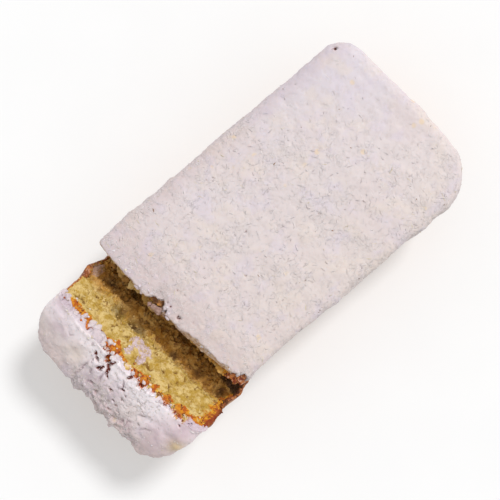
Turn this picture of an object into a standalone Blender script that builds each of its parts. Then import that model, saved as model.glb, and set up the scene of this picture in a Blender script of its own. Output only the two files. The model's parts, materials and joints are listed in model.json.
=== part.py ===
"""Coconut loaf cake: a tin-baked loaf with a coconut icing on top, its end slice cut off and tipped outward.

Frame: metres, +Z up. The loaf lies along X with its uncut end at +X; the end slice (the heel) leans
outward at -X. The origin is at the bottom centre of the whole cake's box.
Inside this file lengths are in millimetres, and every mesh is scaled to metres as it is made.
"""
import math

import bmesh
import bpy
from mathutils import Matrix, Vector

MM = 0.001

# ---------------------------------------------------------------- driving dimensions (mm, degrees)
LOAF_LENGTH = 185.8        # cut edge to the uncut end, along the middle of the top
HEEL_LENGTH = 38.8         # thickness of the cut-off end slice, at the top
WIDTH = 115.0              # over the icing
HEIGHT = 64.0              # over the icing, at the edge of the flat top
ICING_TOP = 4.5            # icing thickness on the top
ICING_SIDE = 1.2           # icing thickness where it hangs over the edge
GAP = 0.3                  # clearance between icing and sponge
FLARE = 3.2                # how much narrower each side is at the bottom than at the top
SIDE_BELLY = 0.7           # slight outward belly halfway up the sides
BASE_ROUND = 3.5           # rounding of the bottom edge
TOP_ROUND = 4.0            # rounding of the sponge's top edge
DOME = 1.2                 # crown of the top along the middle
END_BULGE = 1.6            # outward bow of the two ends, in plan
SKEW = 2.75                # degrees that both ends lean from square, in plan
# plan radii of the corners: far -Y, far +Y, heel +Y, heel -Y
CORNER_R = (27.0, 16.0, 23.0, 17.0)
CUT_SLANT = 11.0           # the knife's lean from vertical: the heel is thicker at its foot
CUT_OBLIQUE = 5.4          # the knife's angle from square, in plan
TIP = 28.0                 # how far the heel leans outward
CUT_BOW = 2.8              # the cut curves: its two ends are this far towards +X
HEEL_NARROW = 2.0          # how far each side of the heel is drawn in at the top
HEEL_SPREAD = 3.2          # and how far each side has spread at the foot
HEEL_SHIFT = 4.6           # how far the heel has slid sideways, towards -Y
HEEL_CLEAR = 0.6           # smallest distance from the heel's foot to the loaf's cut face
DRAPE_MEAN = 5.0           # how far the icing hangs below the sponge's top
DRAPE_WAVE = 2.4           # how much that varies along the edge
HEEL_DRAPE = 4.0           # extra hang over the heel's outer end
CHIP_SIZE = (7.2, 6.0, 9.0)  # the broken-out notch in the loaf icing's cut edge: half sizes
CHIP_AT = (0.8, 8.5)       # where the notch is on the cut edge (x from the cut, y)
KNOB_OUT = 4.2             # crust knob at the loaf's -Y cut corner: how far it stands out
KNOB_R = 9.0               # and how wide it spreads

ARC = 6                    # segments in a corner
LONG_RUN = 24              # segments along a long side
END_RUN = 8                # segments along an end

SPONGE_TOP = HEIGHT - ICING_TOP - GAP
HALF_W = WIDTH / 2
TOP_INSETS = (13.0, 25.0, 38.0, 50.0, 55.5)   # rings of the top, in from the rim


# ---------------------------------------------------------------- materials
def material(name, colour, roughness):
    mat = bpy.data.materials.new(name)
    mat.use_nodes = True
    bsdf = next(n for n in mat.node_tree.nodes if n.type == 'BSDF_PRINCIPLED')
    bsdf.inputs["Base Color"].default_value = (*colour, 1.0)
    bsdf.inputs["Roughness"].default_value = roughness
    bsdf.inputs["Metallic"].default_value = 0.0
    mat.diffuse_color = (*colour, 1.0)
    return mat


# ---------------------------------------------------------------- plan and section of the whole cake
def smooth(t):
    t = min(1.0, max(0.0, t))
    return t * t * (3 - 2 * t)


def wave(s, terms):
    """A sum of sines at arc length s: terms are (amplitude, wavelength, phase)."""
    return sum(a * math.sin(2 * math.pi * s / l + p) for a, l, p in terms)


def plan(inset):
    """The rounded, slightly skewed rectangle, anticlockwise from above, drawn in by inset."""
    x0, x1, w = -HEEL_LENGTH + inset, LOAF_LENGTH - inset, HALF_W - inset
    arcs = []
    for i, (cx, cy, sx, sy) in enumerate(((x1, -w, 1, -1), (x1, w, 1, 1), (x0, w, -1, 1), (x0, -w, -1, -1))):
        r = max(CORNER_R[i] - inset, 1.5)
        a0 = math.radians(-90 + 90 * i)
        arcs.append([Vector((cx - sx * r + r * math.cos(a0 + k * math.pi / 2 / ARC),
                             cy - sy * r + r * math.sin(a0 + k * math.pi / 2 / ARC))) for k in range(ARC + 1)])
    pts = []
    for i, arc in enumerate(arcs):
        pts += arc
        nxt = arcs[(i + 1) % 4][0]
        runs = END_RUN if i % 2 == 0 else LONG_RUN
        pts += [arc[-1].lerp(nxt, k / runs) for k in range(1, runs)]
    out = []
    for p in pts:
        bow = END_BULGE * (1 - (p.y / HALF_W) ** 2)
        x = p.x + bow * smooth((p.x - LOAF_LENGTH + 60) / 60) - bow * smooth((-p.x - HEEL_LENGTH + 30) / 30)
        out.append(Vector((x - math.tan(math.radians(SKEW)) * p.y, p.y)))
    return out


def arc_lengths(pts):
    s, out = 0.0, []
    for i, p in enumerate(pts):
        out.append(s)
        s += (pts[(i + 1) % len(pts)] - p).length
    return out


RIM = plan(0.0)
RIM_S = arc_lengths(RIM)


def dome(inset):
    """Height of the crown over the level edge of the top."""
    return DOME * smooth(inset / (HALF_W - 8))


def sponge_inset(z):
    """How far the sponge's side stands in from the icing's rim at height z."""
    t = z / SPONGE_TOP
    side = GAP + ICING_SIDE + FLARE * (1 - t) - SIDE_BELLY * math.sin(math.pi * t)
    if z < BASE_ROUND:
        k = 1 - z / BASE_ROUND
        side += BASE_ROUND * (1 - math.sqrt(max(0.0, 1 - k * k)))
    if z > SPONGE_TOP - TOP_ROUND:
        k = 1 - (SPONGE_TOP - z) / TOP_ROUND
        side += TOP_ROUND * (1 - math.sqrt(max(0.0, 1 - k * k)))
    return side


def knob(x, y, z):
    """The crust knob at the loaf's cut corner: how far the side is pushed out towards -Y."""
    if y > -HALF_W + 14:
        return 0.0
    d2 = ((x - 8.0) / KNOB_R) ** 2 + ((z - 46.0) / (1.4 * KNOB_R)) ** 2
    return KNOB_OUT * math.exp(-d2)


def sag(x, y):
    """Slow unevenness of the iced top."""
    return wave(x, ((0.35, 61, 0.4), (0.2, 23, 1.9))) * math.cos(y / 31 + 0.6) + 0.3 * math.sin(y / 17 + x / 40)


def crown(p, inset):
    """Height of the top's crown and sag over its level edge."""
    return dome(inset) + sag(p.x, p.y) * smooth((inset - 6) / 10) * (1 - smooth((inset - 30) / 25.5))


def lip(i):
    """Height of the icing's lower edge at outline point i."""
    s, p = RIM_S[i], RIM[i]
    hang = DRAPE_MEAN + wave(s, ((DRAPE_WAVE * 0.45, 57, 0.3), (DRAPE_WAVE * 0.35, 23, 1.1), (DRAPE_WAVE * 0.2, 13, 2.7)))
    hang += HEEL_DRAPE * smooth((-p.x - HEEL_LENGTH + 22) / 18)
    return SPONGE_TOP - max(2.2, hang)


def rim_wave(i):
    """Unevenness of the icing's edge in plan, at outline point i."""
    return wave(RIM_S[i], ((0.45, 71, 2.1), (0.35, 31, 0.2), (0.25, 17, 1.4)))


def edge_round(i):
    """Rounding of the icing's top edge: tight along the loaf, broad over the heel's end."""
    return 5.0 + 4.5 * smooth((-RIM[i].x - HEEL_LENGTH + 26) / 20)


# ---------------------------------------------------------------- mesh building
def loft(bm, rings):
    """Skin a list of rings of equal length and close both ends."""
    loops = [[bm.verts.new(p) for p in ring] for ring in rings]
    n = len(loops[0])
    for a, b in zip(loops, loops[1:]):
        for i in range(n):
            bm.faces.new((a[i], a[(i + 1) % n], b[(i + 1) % n], b[i]))
    bm.faces.new(list(reversed(loops[0])))
    bm.faces.new(loops[-1])
    bmesh.ops.recalc_face_normals(bm, faces=bm.faces)


def sponge_body(grow=0.0):
    """The whole loaf's sponge; grow makes the same body larger all round, as the cutter that hollows the icing."""
    bm = bmesh.new()
    heights = [0.0, 0.35, 1.3, BASE_ROUND, 10, 19, 28, 37, 46, 52, SPONGE_TOP - TOP_ROUND,
               SPONGE_TOP - 1.9, SPONGE_TOP - 0.55, SPONGE_TOP]
    rings = []
    for z in heights:
        rise = grow * smooth((z - 50) / 9)
        ring = plan(sponge_inset(z) - grow)
        rings.append([Vector((p.x, p.y - knob(p.x, p.y, z), z + rise)) for p in ring])
    for inset in TOP_INSETS:
        rings.append([Vector((p.x, p.y, SPONGE_TOP + grow + crown(p, inset))) for p in plan(inset)])
    loft(bm, rings)
    return bm


def icing_body():
    """The icing as a block out to its outer surface; the grown sponge is then taken out of it."""
    bm = bmesh.new()
    n = len(RIM)
    side = [plan(k * 0.5) for k in range(0, 24)]

    def at(inset, i):
        lo = min(int(inset * 2), 22)
        return side[lo][i].lerp(side[lo + 1][i], inset * 2 - lo)

    # from the middle of the top to the rim
    rings = [[Vector((p.x, p.y, HEIGHT + crown(p, inset))) for p in plan(inset)] for inset in reversed(TOP_INSETS)]
    # over the rounded edge
    for a in (math.radians(d) for d in (0, 30, 55, 78)):
        ring = []
        for i in range(n):
            r = edge_round(i)
            p = at(r * (1 - math.sin(a)), i)
            ring.append(Vector((p.x, p.y, HEIGHT - r * (1 - math.cos(a)))))
        rings.append(ring)
    # the hanging lip, down, under and in
    for rise, inset in ((1.6, 0.0), (0.6, 0.2), (0.0, 0.7), (0.5, 4.5)):
        rings.append([Vector((at(inset, i).x, at(inset, i).y, lip(i) + rise)) for i in range(n)])
    rings.append([Vector((p.x, p.y, SPONGE_TOP - 14)) for p in plan(14.0)])
    # the edge wanders in plan, and follows the knob under it
    for k, ring in enumerate(rings):
        for i, v in enumerate(ring):
            out = (RIM[(i + 1) % n] - RIM[i - 1]).normalized()
            push = max(-0.3, rim_wave(i)) if len(TOP_INSETS) <= k < len(TOP_INSETS) + 7 else 0.0
            v.x += out.y * push
            v.y -= out.x * push + knob(v.x, v.y, v.z)
    loft(bm, rings)
    return bm


def cut(bm, keep_loaf):
    """Cut the whole cake with the knife's plane and keep one side, closed."""
    normal = Vector((1.0, math.tan(math.radians(CUT_OBLIQUE)), math.tan(math.radians(CUT_SLANT)))).normalized()
    origin = Vector((0, 0, HEIGHT)) + normal * (0.15 if keep_loaf else -0.15)
    res = bmesh.ops.bisect_plane(bm, geom=bm.verts[:] + bm.edges[:] + bm.faces[:], dist=1e-4, plane_co=origin,
                                 plane_no=normal, clear_outer=not keep_loaf, clear_inner=keep_loaf)
    rim = [e for e in bm.edges if e.is_boundary]
    bmesh.ops.triangle_fill(bm, edges=rim, use_beauty=True)
    bmesh.ops.recalc_face_normals(bm, faces=bm.faces)
    return res


def bow_cut(bm):
    """Bend the body near the cut, so that both cut faces curve the same way."""
    for v in bm.verts:
        away = abs(v.co.x + math.tan(math.radians(CUT_OBLIQUE)) * v.co.y
                   - (HEIGHT - v.co.z) * math.tan(math.radians(CUT_SLANT)))
        v.co.x += CUT_BOW * min(1.0, abs(v.co.y) / HALF_W) ** 3 * (1 - smooth(away / 26))


def settle_heel(bm):
    """The heel's foot spreads under its weight, and its top draws in."""
    for v in bm.verts:
        out = HEEL_SPREAD + (-HEEL_NARROW - HEEL_SPREAD) * v.co.z / HEIGHT
        v.co.y *= 1 + out / HALF_W


def finish(name, bm, mat):
    bmesh.ops.remove_doubles(bm, verts=bm.verts, dist=0.02)
    bmesh.ops.scale(bm, vec=(MM, MM, MM), verts=bm.verts)
    mesh = bpy.data.meshes.new(name)
    bm.to_mesh(mesh)
    bm.free()
    mesh.materials.append(mat)
    mesh.shade_smooth()
    mesh.set_sharp_from_angle(angle=math.radians(40))
    obj = bpy.data.objects.new(name, mesh)
    bpy.context.collection.objects.link(obj)
    return obj


def main():
    for obj in list(bpy.data.objects):
        bpy.data.objects.remove(obj, do_unlink=True)

    crumb = material("sponge", (0.56, 0.38, 0.13), 0.9)
    white = material("coconut_icing", (0.74, 0.66, 0.65), 0.75)

    pieces = {}
    for part, keep_loaf in (("loaf", True), ("slice", False)):
        for layer, body, mat in (("sponge", sponge_body, crumb), ("icing", icing_body, white)):
            bm = body()
            cut(bm, keep_loaf)
            bow_cut(bm)
            if not keep_loaf:
                settle_heel(bm)
            pieces[part + "_" + layer] = finish(part + "_" + layer, bm, mat)

    # the sponge, grown by the clearance, hollows the icing of both parts
    hollow = {}
    for part in ("loaf", "slice"):
        bm = sponge_body(GAP)
        bow_cut(bm)
        if part == "slice":
            settle_heel(bm)
        core = finish(part + "_core_cutter", bm, crumb)
        core.hide_render = True
        core.display_type = 'WIRE'
        mod = pieces[part + "_icing"].modifiers.new("hollow", 'BOOLEAN')
        mod.operation = 'DIFFERENCE'
        mod.solver = 'EXACT'
        mod.object = core
        hollow[part] = core

    # the notch broken out of the loaf icing's cut edge
    bm = bmesh.new()
    bmesh.ops.create_icosphere(bm, subdivisions=2, radius=1.0)
    for v in bm.verts:
        k = 1 + 0.13 * math.sin(5 * v.co.x + 2) * math.cos(4 * v.co.y + 1)
        v.co = Vector((v.co.x * CHIP_SIZE[0] * k, v.co.y * CHIP_SIZE[1] * k, v.co.z * CHIP_SIZE[2]))
        v.co += Vector((CHIP_AT[0], CHIP_AT[1], HEIGHT))
    cutter = finish("chip_cutter", bm, white)
    cutter.hide_render = True
    cutter.display_type = 'WIRE'
    mod = pieces["loaf_icing"].modifiers.new("chip", 'BOOLEAN')
    mod.operation = 'DIFFERENCE'
    mod.solver = 'EXACT'
    mod.object = cutter

    # the heel leans outward about its outer bottom edge, along the line of the cut
    along = Vector((-math.sin(math.radians(CUT_OBLIQUE)), math.cos(math.radians(CUT_OBLIQUE)), 0.0))
    across = Vector((along.y, -along.x, 0.0))
    edge = Vector((-(HEEL_LENGTH - FLARE - 2.0), 0.0, 0.0))
    turn = Matrix.Rotation(math.radians(-TIP), 4, along)
    heel = [Vector(v.co) / MM for name in ("slice_sponge", "slice_icing") for v in pieces[name].data.vertices]
    placed = [edge + turn @ (v - edge) for v in heel]
    # it stands on the table, and its foot stops just short of the loaf's cut face
    lift = -min(v.z for v in placed)
    face = Vector((1.0, math.tan(math.radians(CUT_OBLIQUE)), math.tan(math.radians(CUT_SLANT)))).normalized()
    reach = max((v + Vector((0, 0, lift)) - Vector((0, 0, HEIGHT))).dot(face) for v in placed)
    slide = -(reach + HEEL_CLEAR) / face.dot(across)
    move = along * -HEEL_SHIFT + across * slide + Vector((0, 0, lift))

    # the box of the whole cake sets the origin
    pts = [v + move for v in placed]
    pts += [Vector(v.co) / MM for name in ("loaf_sponge", "loaf_icing") for v in pieces[name].data.vertices]
    mid = Vector(((min(p.x for p in pts) + max(p.x for p in pts)) / 2,
                  (min(p.y for p in pts) + max(p.y for p in pts)) / 2, min(p.z for p in pts)))

    cake = bpy.data.objects.new("cake_origin", None)
    bpy.context.collection.objects.link(cake)
    cake.location = -mid * MM
    pivot = bpy.data.objects.new("heel_pivot", None)
    bpy.context.collection.objects.link(pivot)
    pivot.parent = cake
    pivot.matrix_local = Matrix.Translation((edge + move) * MM) @ turn
    for name, obj in pieces.items():
        if name.startswith("slice"):
            obj.parent = pivot
            obj.location = -edge * MM
        else:
            obj.parent = cake
    cutter.parent = cake
    hollow["loaf"].parent = cake
    hollow["slice"].parent = pivot
    hollow["slice"].location = -edge * MM


main()
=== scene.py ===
import json
import math
import time

import bmesh
import bpy
import numpy as np
from mathutils import Matrix, Vector

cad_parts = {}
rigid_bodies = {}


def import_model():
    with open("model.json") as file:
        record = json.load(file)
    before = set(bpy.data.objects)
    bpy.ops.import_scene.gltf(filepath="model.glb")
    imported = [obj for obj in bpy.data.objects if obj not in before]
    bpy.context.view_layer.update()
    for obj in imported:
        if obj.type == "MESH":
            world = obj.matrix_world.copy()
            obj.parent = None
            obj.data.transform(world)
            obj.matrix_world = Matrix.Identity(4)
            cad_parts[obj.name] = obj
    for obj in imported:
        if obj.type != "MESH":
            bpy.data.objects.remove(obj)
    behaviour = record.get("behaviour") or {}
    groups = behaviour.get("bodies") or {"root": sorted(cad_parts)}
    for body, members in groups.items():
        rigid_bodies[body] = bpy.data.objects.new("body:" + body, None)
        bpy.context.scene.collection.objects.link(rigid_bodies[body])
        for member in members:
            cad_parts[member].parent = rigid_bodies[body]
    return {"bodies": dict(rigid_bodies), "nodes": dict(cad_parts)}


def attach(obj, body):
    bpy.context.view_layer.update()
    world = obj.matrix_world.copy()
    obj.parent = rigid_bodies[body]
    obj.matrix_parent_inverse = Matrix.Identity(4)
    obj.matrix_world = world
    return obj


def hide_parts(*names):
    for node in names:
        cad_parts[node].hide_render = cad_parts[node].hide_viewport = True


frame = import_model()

# Everything below works in millimetres and in the cake's own body frame: x = 0 on the line of the cut at the
# middle of the top, z = 0 on the baked base. The loaf stands where the frame puts it; the slice is the same
# frame, tipped. The numbers are the design's own, as in part.py.
MM = 0.001
T0 = time.perf_counter()

LOAF_LENGTH, HEEL_LENGTH, WIDTH, HEIGHT = 185.8, 38.8, 115.0, 64.0
ICING_TOP, ICING_SIDE, GAP, FLARE = 4.5, 1.2, 0.3, 3.2
SPONGE_TOP = HEIGHT - ICING_TOP - GAP
HALF_W = WIDTH / 2
SKEW, CUT_SLANT, CUT_OBLIQUE, CUT_BOW, TIP = 2.75, 11.0, 5.4, 2.8, 28.0

TAN_OB, TAN_SL = math.tan(math.radians(CUT_OBLIQUE)), math.tan(math.radians(CUT_SLANT))
KNIFE = np.array((1.0, TAN_OB, TAN_SL)) / math.sqrt(1 + TAN_OB ** 2 + TAN_SL ** 2)

scene = bpy.context.scene
for _o in list(bpy.data.objects):      # a start-up file's own objects, if there are any
    if _o not in set(frame["nodes"].values()) | set(frame["bodies"].values()):
        bpy.data.objects.remove(_o)
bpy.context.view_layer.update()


# ================================================================ frames
class Place:
    """Row frame (mm) to body frame (mm) and back."""

    def __init__(self, rot, shift, edge):
        self.rot, self.shift, self.edge = np.array(rot), np.array(shift), np.array(edge)

    def to_body(self, p):
        return (p - self.shift) @ self.rot + self.edge

    def to_row(self, b):
        return (b - self.edge) @ self.rot.T + self.shift

    def turn(self, d):
        return d @ self.rot.T


def loaf_place():
    return Place(np.eye(3), (-60.1727, 3.8337, 0.0), (0.0, 0.0, 0.0))


def heel_place():
    along = Vector((-math.sin(math.radians(CUT_OBLIQUE)), math.cos(math.radians(CUT_OBLIQUE)), 0.0))
    turn = Matrix.Rotation(math.radians(-TIP), 3, along)
    return Place([list(r) for r in turn], (-94.6231, -0.8672, 0.3252), (-33.6, 0.0, 0.0))


LOAF, HEEL = loaf_place(), heel_place()


# ================================================================ noise
def hash3(i, j, k, seed):
    with np.errstate(over="ignore"):
        h = (i.astype(np.int64).astype(np.uint32) * np.uint32(73856093)
             ^ j.astype(np.int64).astype(np.uint32) * np.uint32(19349663)
             ^ k.astype(np.int64).astype(np.uint32) * np.uint32(83492791)
             ^ np.uint32((seed * 2654435761) & 0xFFFFFFFF))
        h ^= h >> np.uint32(15)
        h *= np.uint32(2246822519)
        h ^= h >> np.uint32(13)
        h *= np.uint32(3266489917)
        h ^= h >> np.uint32(16)
    return h


def rand3(i, j, k, seed):
    return hash3(i, j, k, seed).astype(np.float64) / 4294967296.0


_g = np.random.default_rng(7).normal(size=(256, 3))
GRADS = _g / np.linalg.norm(_g, axis=1, keepdims=True)


def perlin(p, seed=0):
    """Gradient noise, about -1 to 1, at points (n, 3)."""
    c = np.floor(p)
    f = p - c
    w = f * f * f * (f * (f * 6 - 15) + 10)
    out = np.zeros(len(p))
    for dx in (0, 1):
        wx = w[:, 0] if dx else 1 - w[:, 0]
        for dy in (0, 1):
            wy = w[:, 1] if dy else 1 - w[:, 1]
            for dz in (0, 1):
                wz = w[:, 2] if dz else 1 - w[:, 2]
                g = GRADS[hash3(c[:, 0] + dx, c[:, 1] + dy, c[:, 2] + dz, seed) & np.uint32(255)]
                d = f - (dx, dy, dz)
                out += wx * wy * wz * (g * d).sum(1)
    return out * 1.6


def fbm(p, size, octaves=3, seed=0, gain=0.5):
    out, amp, tot = np.zeros(len(p)), 1.0, 0.0
    q = p / size
    for o in range(octaves):
        out += amp * perlin(q, seed + 17 * o)
        tot += amp
        amp *= gain
        q = q * 2.03 + 5.1
    return out / tot


def worley(p, size, seed=0):
    """Nearest and second nearest feature distance in cells, and a random number of the nearest cell."""
    q = p / size
    c = np.floor(q)
    f1 = np.full(len(p), 9.0)
    f2 = np.full(len(p), 9.0)
    rid = np.zeros(len(p))
    for dx in (-1, 0, 1):
        for dy in (-1, 0, 1):
            for dz in (-1, 0, 1):
                i, j, k = c[:, 0] + dx, c[:, 1] + dy, c[:, 2] + dz
                h = hash3(i, j, k, seed)
                fx = (h & np.uint32(1023)).astype(float) / 1023
                fy = ((h >> np.uint32(10)) & np.uint32(1023)).astype(float) / 1023
                fz = ((h >> np.uint32(20)) & np.uint32(1023)).astype(float) / 1023
                d = np.sqrt((i + fx - q[:, 0]) ** 2 + (j + fy - q[:, 1]) ** 2 + (k + fz - q[:, 2]) ** 2)
                near = d < f1
                f2 = np.where(near, f1, np.minimum(f2, d))
                rid = np.where(near, rand3(i, j, k, seed + 91), rid)
                f1 = np.where(near, d, f1)
    return f1, f2, rid


def smooth01(t):
    t = np.clip(t, 0.0, 1.0)
    return t * t * (3 - 2 * t)


def ramp(x, a, b):
    return smooth01((x - a) / (b - a))


def bump(x, c, r):
    """1 at c, falling smoothly to 0 at distance r."""
    return 1 - smooth01(np.abs(x - c) / r)


# ================================================================ body-frame measures
def cut_distance(b):
    """Signed distance in x from the (bowed) cut: positive into the loaf, negative into the heel."""
    bow = CUT_BOW * np.minimum(1.0, np.abs(b[:, 1]) / HALF_W) ** 3
    return b[:, 0] + TAN_OB * b[:, 1] - (HEIGHT - b[:, 2]) * TAN_SL - bow


def side_depth(b, heel=False):
    """Depth under the sponge's long sides, its two ends and its base and top: the smallest of them."""
    t = b[:, 2] / SPONGE_TOP
    half = HALF_W - GAP - ICING_SIDE - FLARE * (1 - t) + 0.7 * np.sin(np.pi * np.clip(t, 0, 1))
    if heel:
        half = half * (1 + (3.2 - 5.2 * b[:, 2] / HEIGHT) / HALF_W)
    side = half - np.abs(b[:, 1])
    skewed = b[:, 0] + math.tan(math.radians(SKEW)) * b[:, 1]
    bow = 1.6 * (1 - (b[:, 1] / HALF_W) ** 2)
    shrink = GAP + ICING_SIDE + FLARE * (1 - t)
    ends = np.minimum(LOAF_LENGTH + bow - shrink - skewed, skewed + HEEL_LENGTH + bow - shrink)
    return side, ends, b[:, 2], SPONGE_TOP - b[:, 2]


# ================================================================ meshes
def get_co(me):
    co = np.empty(len(me.vertices) * 3)
    me.vertices.foreach_get("co", co)
    return co.reshape(-1, 3) / MM


def set_co(me, co):
    me.vertices.foreach_set("co", (co * MM).ravel())
    me.update()


def get_no(me):
    no = np.empty(len(me.vertices) * 3)
    me.vertex_normals.foreach_get("vector", no)
    return no.reshape(-1, 3)


def get_edges(me):
    e = np.empty(len(me.edges) * 2, dtype=np.int64)
    me.edges.foreach_get("vertices", e)
    return e.reshape(-1, 2)


def smooth_field(values, edges, n, rounds=1, keep=0.5):
    """Average a vertex field (or positions) with its neighbours."""
    v = values.reshape(n, -1).astype(float)
    deg = np.bincount(edges.ravel(), minlength=n).astype(float)[:, None]
    for _ in range(rounds):
        s = np.stack([np.bincount(edges[:, 0], weights=v[edges[:, 1], c], minlength=n)
                      + np.bincount(edges[:, 1], weights=v[edges[:, 0], c], minlength=n) for c in range(v.shape[1])], 1)
        v = keep * v + (1 - keep) * s / np.maximum(deg, 1)
    return v.reshape(values.shape)


def attr(me, name, values):
    a = me.attributes.get(name) or me.attributes.new(name, "FLOAT", "POINT")
    a.data.foreach_set("value", np.asarray(values, dtype=np.float32))


def colour_attr(me, name, rgb):
    a = me.attributes.get(name) or me.attributes.new(name, "FLOAT_COLOR", "POINT")
    rgba = np.ones((len(rgb), 4), np.float32)
    rgba[:, :3] = rgb
    a.data.foreach_set("color", rgba.ravel())


def add_object(name, me):
    ob = bpy.data.objects.new(name, me)
    scene.collection.objects.link(ob)
    return ob


def remesh(me, voxel):
    """A closed quad mesh of even cells round whatever the mesh encloses."""
    ob = add_object("work", me)
    mod = ob.modifiers.new("remesh", "REMESH")
    mod.mode = "VOXEL"
    mod.voxel_size = voxel * MM
    mod.adaptivity = 0.0
    dg = bpy.context.evaluated_depsgraph_get()
    new = bpy.data.meshes.new_from_object(ob.evaluated_get(dg))
    bpy.data.objects.remove(ob)
    return new


def subdivide_where(me, wanted, rounds=1):
    """Split the faces for which wanted(centres, normals) is true, rounds times."""
    for _ in range(rounds):
        n = len(me.polygons)
        c = np.empty(n * 3)
        me.polygons.foreach_get("center", c)
        nn = np.empty(n * 3)
        me.polygons.foreach_get("normal", nn)
        mask = wanted(c.reshape(-1, 3) / MM, nn.reshape(-1, 3))
        bm = bmesh.new()
        bm.from_mesh(me)
        bm.faces.ensure_lookup_table()
        edges = {e for i in np.nonzero(mask)[0] for e in bm.faces[int(i)].edges}
        bmesh.ops.subdivide_edges(bm, edges=list(edges), cuts=1, use_grid_fill=True)
        ngons = [f for f in bm.faces if len(f.verts) > 4]
        if ngons:
            bmesh.ops.triangulate(bm, faces=ngons)
        bm.to_mesh(me)
        bm.free()
    return me


def count(me):
    me.calc_loop_triangles()
    return len(me.loop_triangles)


def note(*words):
    print("[%6.1fs]" % (time.perf_counter() - T0), *words, flush=True)


def mesh_from(name, verts, faces):
    """A mesh (mm in) from arrays of vertices and of faces with equal corners."""
    me = bpy.data.meshes.new(name)
    k = faces.shape[1]
    me.vertices.add(len(verts))
    me.vertices.foreach_set("co", (verts * MM).ravel())
    me.loops.add(faces.size)
    me.loops.foreach_set("vertex_index", faces.ravel().astype(np.int32))
    me.polygons.add(len(faces))
    me.polygons.foreach_set("loop_start", np.arange(0, faces.size, k, dtype=np.int32))
    me.polygons.foreach_set("use_smooth", np.ones(len(faces), bool))
    me.update(calc_edges=True)
    me.validate()
    return me


def surface_samples(me, place, n, rng, weigh):
    """Random points and normals (body frame, mm) on a mesh, spread by area times weigh(centres, normals)."""
    me.calc_loop_triangles()
    tri = np.empty(len(me.loop_triangles) * 3, np.int32)
    me.loop_triangles.foreach_get("vertices", tri)
    tri = tri.reshape(-1, 3)
    b, nb = place.to_body(get_co(me)), get_no(me) @ place.rot
    p0, p1, p2 = b[tri[:, 0]], b[tri[:, 1]], b[tri[:, 2]]
    area = np.linalg.norm(np.cross(p1 - p0, p2 - p0), axis=1) / 2
    nn = nb[tri].mean(1)
    nn /= np.maximum(np.linalg.norm(nn, axis=1), 1e-9)[:, None]
    w = area * np.clip(weigh((p0 + p1 + p2) / 3, nn), 0, None)
    cum = np.cumsum(w)
    pick = np.searchsorted(cum, rng.uniform(0, cum[-1], n))
    r1, r2 = np.sqrt(rng.uniform(0, 1, n)), rng.uniform(0, 1, n)
    pts = (1 - r1)[:, None] * p0[pick] + (r1 * (1 - r2))[:, None] * p1[pick] + (r1 * r2)[:, None] * p2[pick]
    return pts, nn[pick]


def tree_of(ob):
    from mathutils.bvhtree import BVHTree
    return BVHTree.FromObject(ob, bpy.context.evaluated_depsgraph_get())


def settle(tree, place, pts):
    """The nearest points of a surface to pts (body frame, mm)."""
    row = place.to_row(pts.reshape(-1, 3)) * MM
    near = np.array([tree.find_nearest(Vector(p))[0][:] for p in row]) / MM
    return place.to_body(near).reshape(pts.shape)


def polyline(b, pts):
    """Distance of points to a broken line, and how far along it (0-1) the nearest place is."""
    pts = np.asarray(pts, float)
    best, at, total = np.full(len(b), 1e9), np.zeros(len(b)), 0.0
    seg = np.linalg.norm(pts[1:] - pts[:-1], axis=1)
    for i in range(len(seg)):
        d = (pts[i + 1] - pts[i]) / seg[i]
        t = np.clip((b - pts[i]) @ d, 0, seg[i])
        dist = np.linalg.norm(b - pts[i] - t[:, None] * d, axis=1)
        near = dist < best
        best, at = np.where(near, dist, best), np.where(near, total + t, at)
        total += seg[i]
    return best, at / total


def blob(b, centre, radii):
    """1 at a centre, falling as a bell in an ellipsoid."""
    return np.exp(-(((b - centre) / radii) ** 2).sum(1))


def at_cut(y, z, inward=0.0):
    """The point of the heel's cut at y and z, or inside it."""
    x = -TAN_OB * y + (HEIGHT - z) * TAN_SL + CUT_BOW * min(1.0, abs(y) / HALF_W) ** 3
    return np.array((x, y, z)) - inward * KNIFE


def dent(b, centre, radii, seed, rough=0.16, size=3.2):
    """Bite a ragged bowl out of a surface from above; and how deep in a bowl each point is, 0-1."""
    q = (b - centre) / radii
    d = np.hypot(q[:, 0], q[:, 1])
    near = (d < 1.7) & (np.abs(q[:, 2]) < 3)
    if not near.any():
        return b, np.zeros(len(b))
    r = np.ones(len(b))
    flat = b[near] * (1.0, 1.0, 0.35)
    r[near] = 1 + rough * 2.0 * fbm(flat, size, 3, seed, 0.6)
    floor_z = centre[2] - radii[2] * np.sqrt(np.clip(1 - (d / r) ** 2, 0, 1)) ** 0.7
    inside = near & (d < r) & (b[:, 2] > floor_z)
    out = b.copy()
    out[inside, 2] = floor_z[inside]
    return out, inside * np.clip(0.3 + 0.5 * (b[:, 2] - floor_z), 0, 1)


# ================================================================ where the cake is broken (body frame, mm)
# the heel's icing: places where it has come away from the crust, as centre and half sizes
HEEL_CHIPS = (((0.6, 10.8, 64.2), (3.6, 2.8, 8.2)), ((0.4, 14.8, 64.0), (2.2, 2.4, 7.0)),
              ((-4.4, 9.9, 64.6), (3.4, 1.4, 7.4)), ((-5.8, 8.6, 64.8), (2.6, 2.0, 7.6)), ((-10.4, 13.2, 65.0), (1.4, 1.5, 3.2)),
              ((0.4, -7.6, 63.8), (1.7, 2.2, 6.4)), ((0.6, -13.6, 63.8), (2.8, 3.4, 6.6)),
              ((3.2, -20.2, 63.4), (1.8, 2.8, 6.6)), ((4.4, -29.4, 63.6), (2.6, 3.4, 7.0)),
              ((5.8, -38.6, 63.6), (2.6, 4.6, 7.0)))
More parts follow.
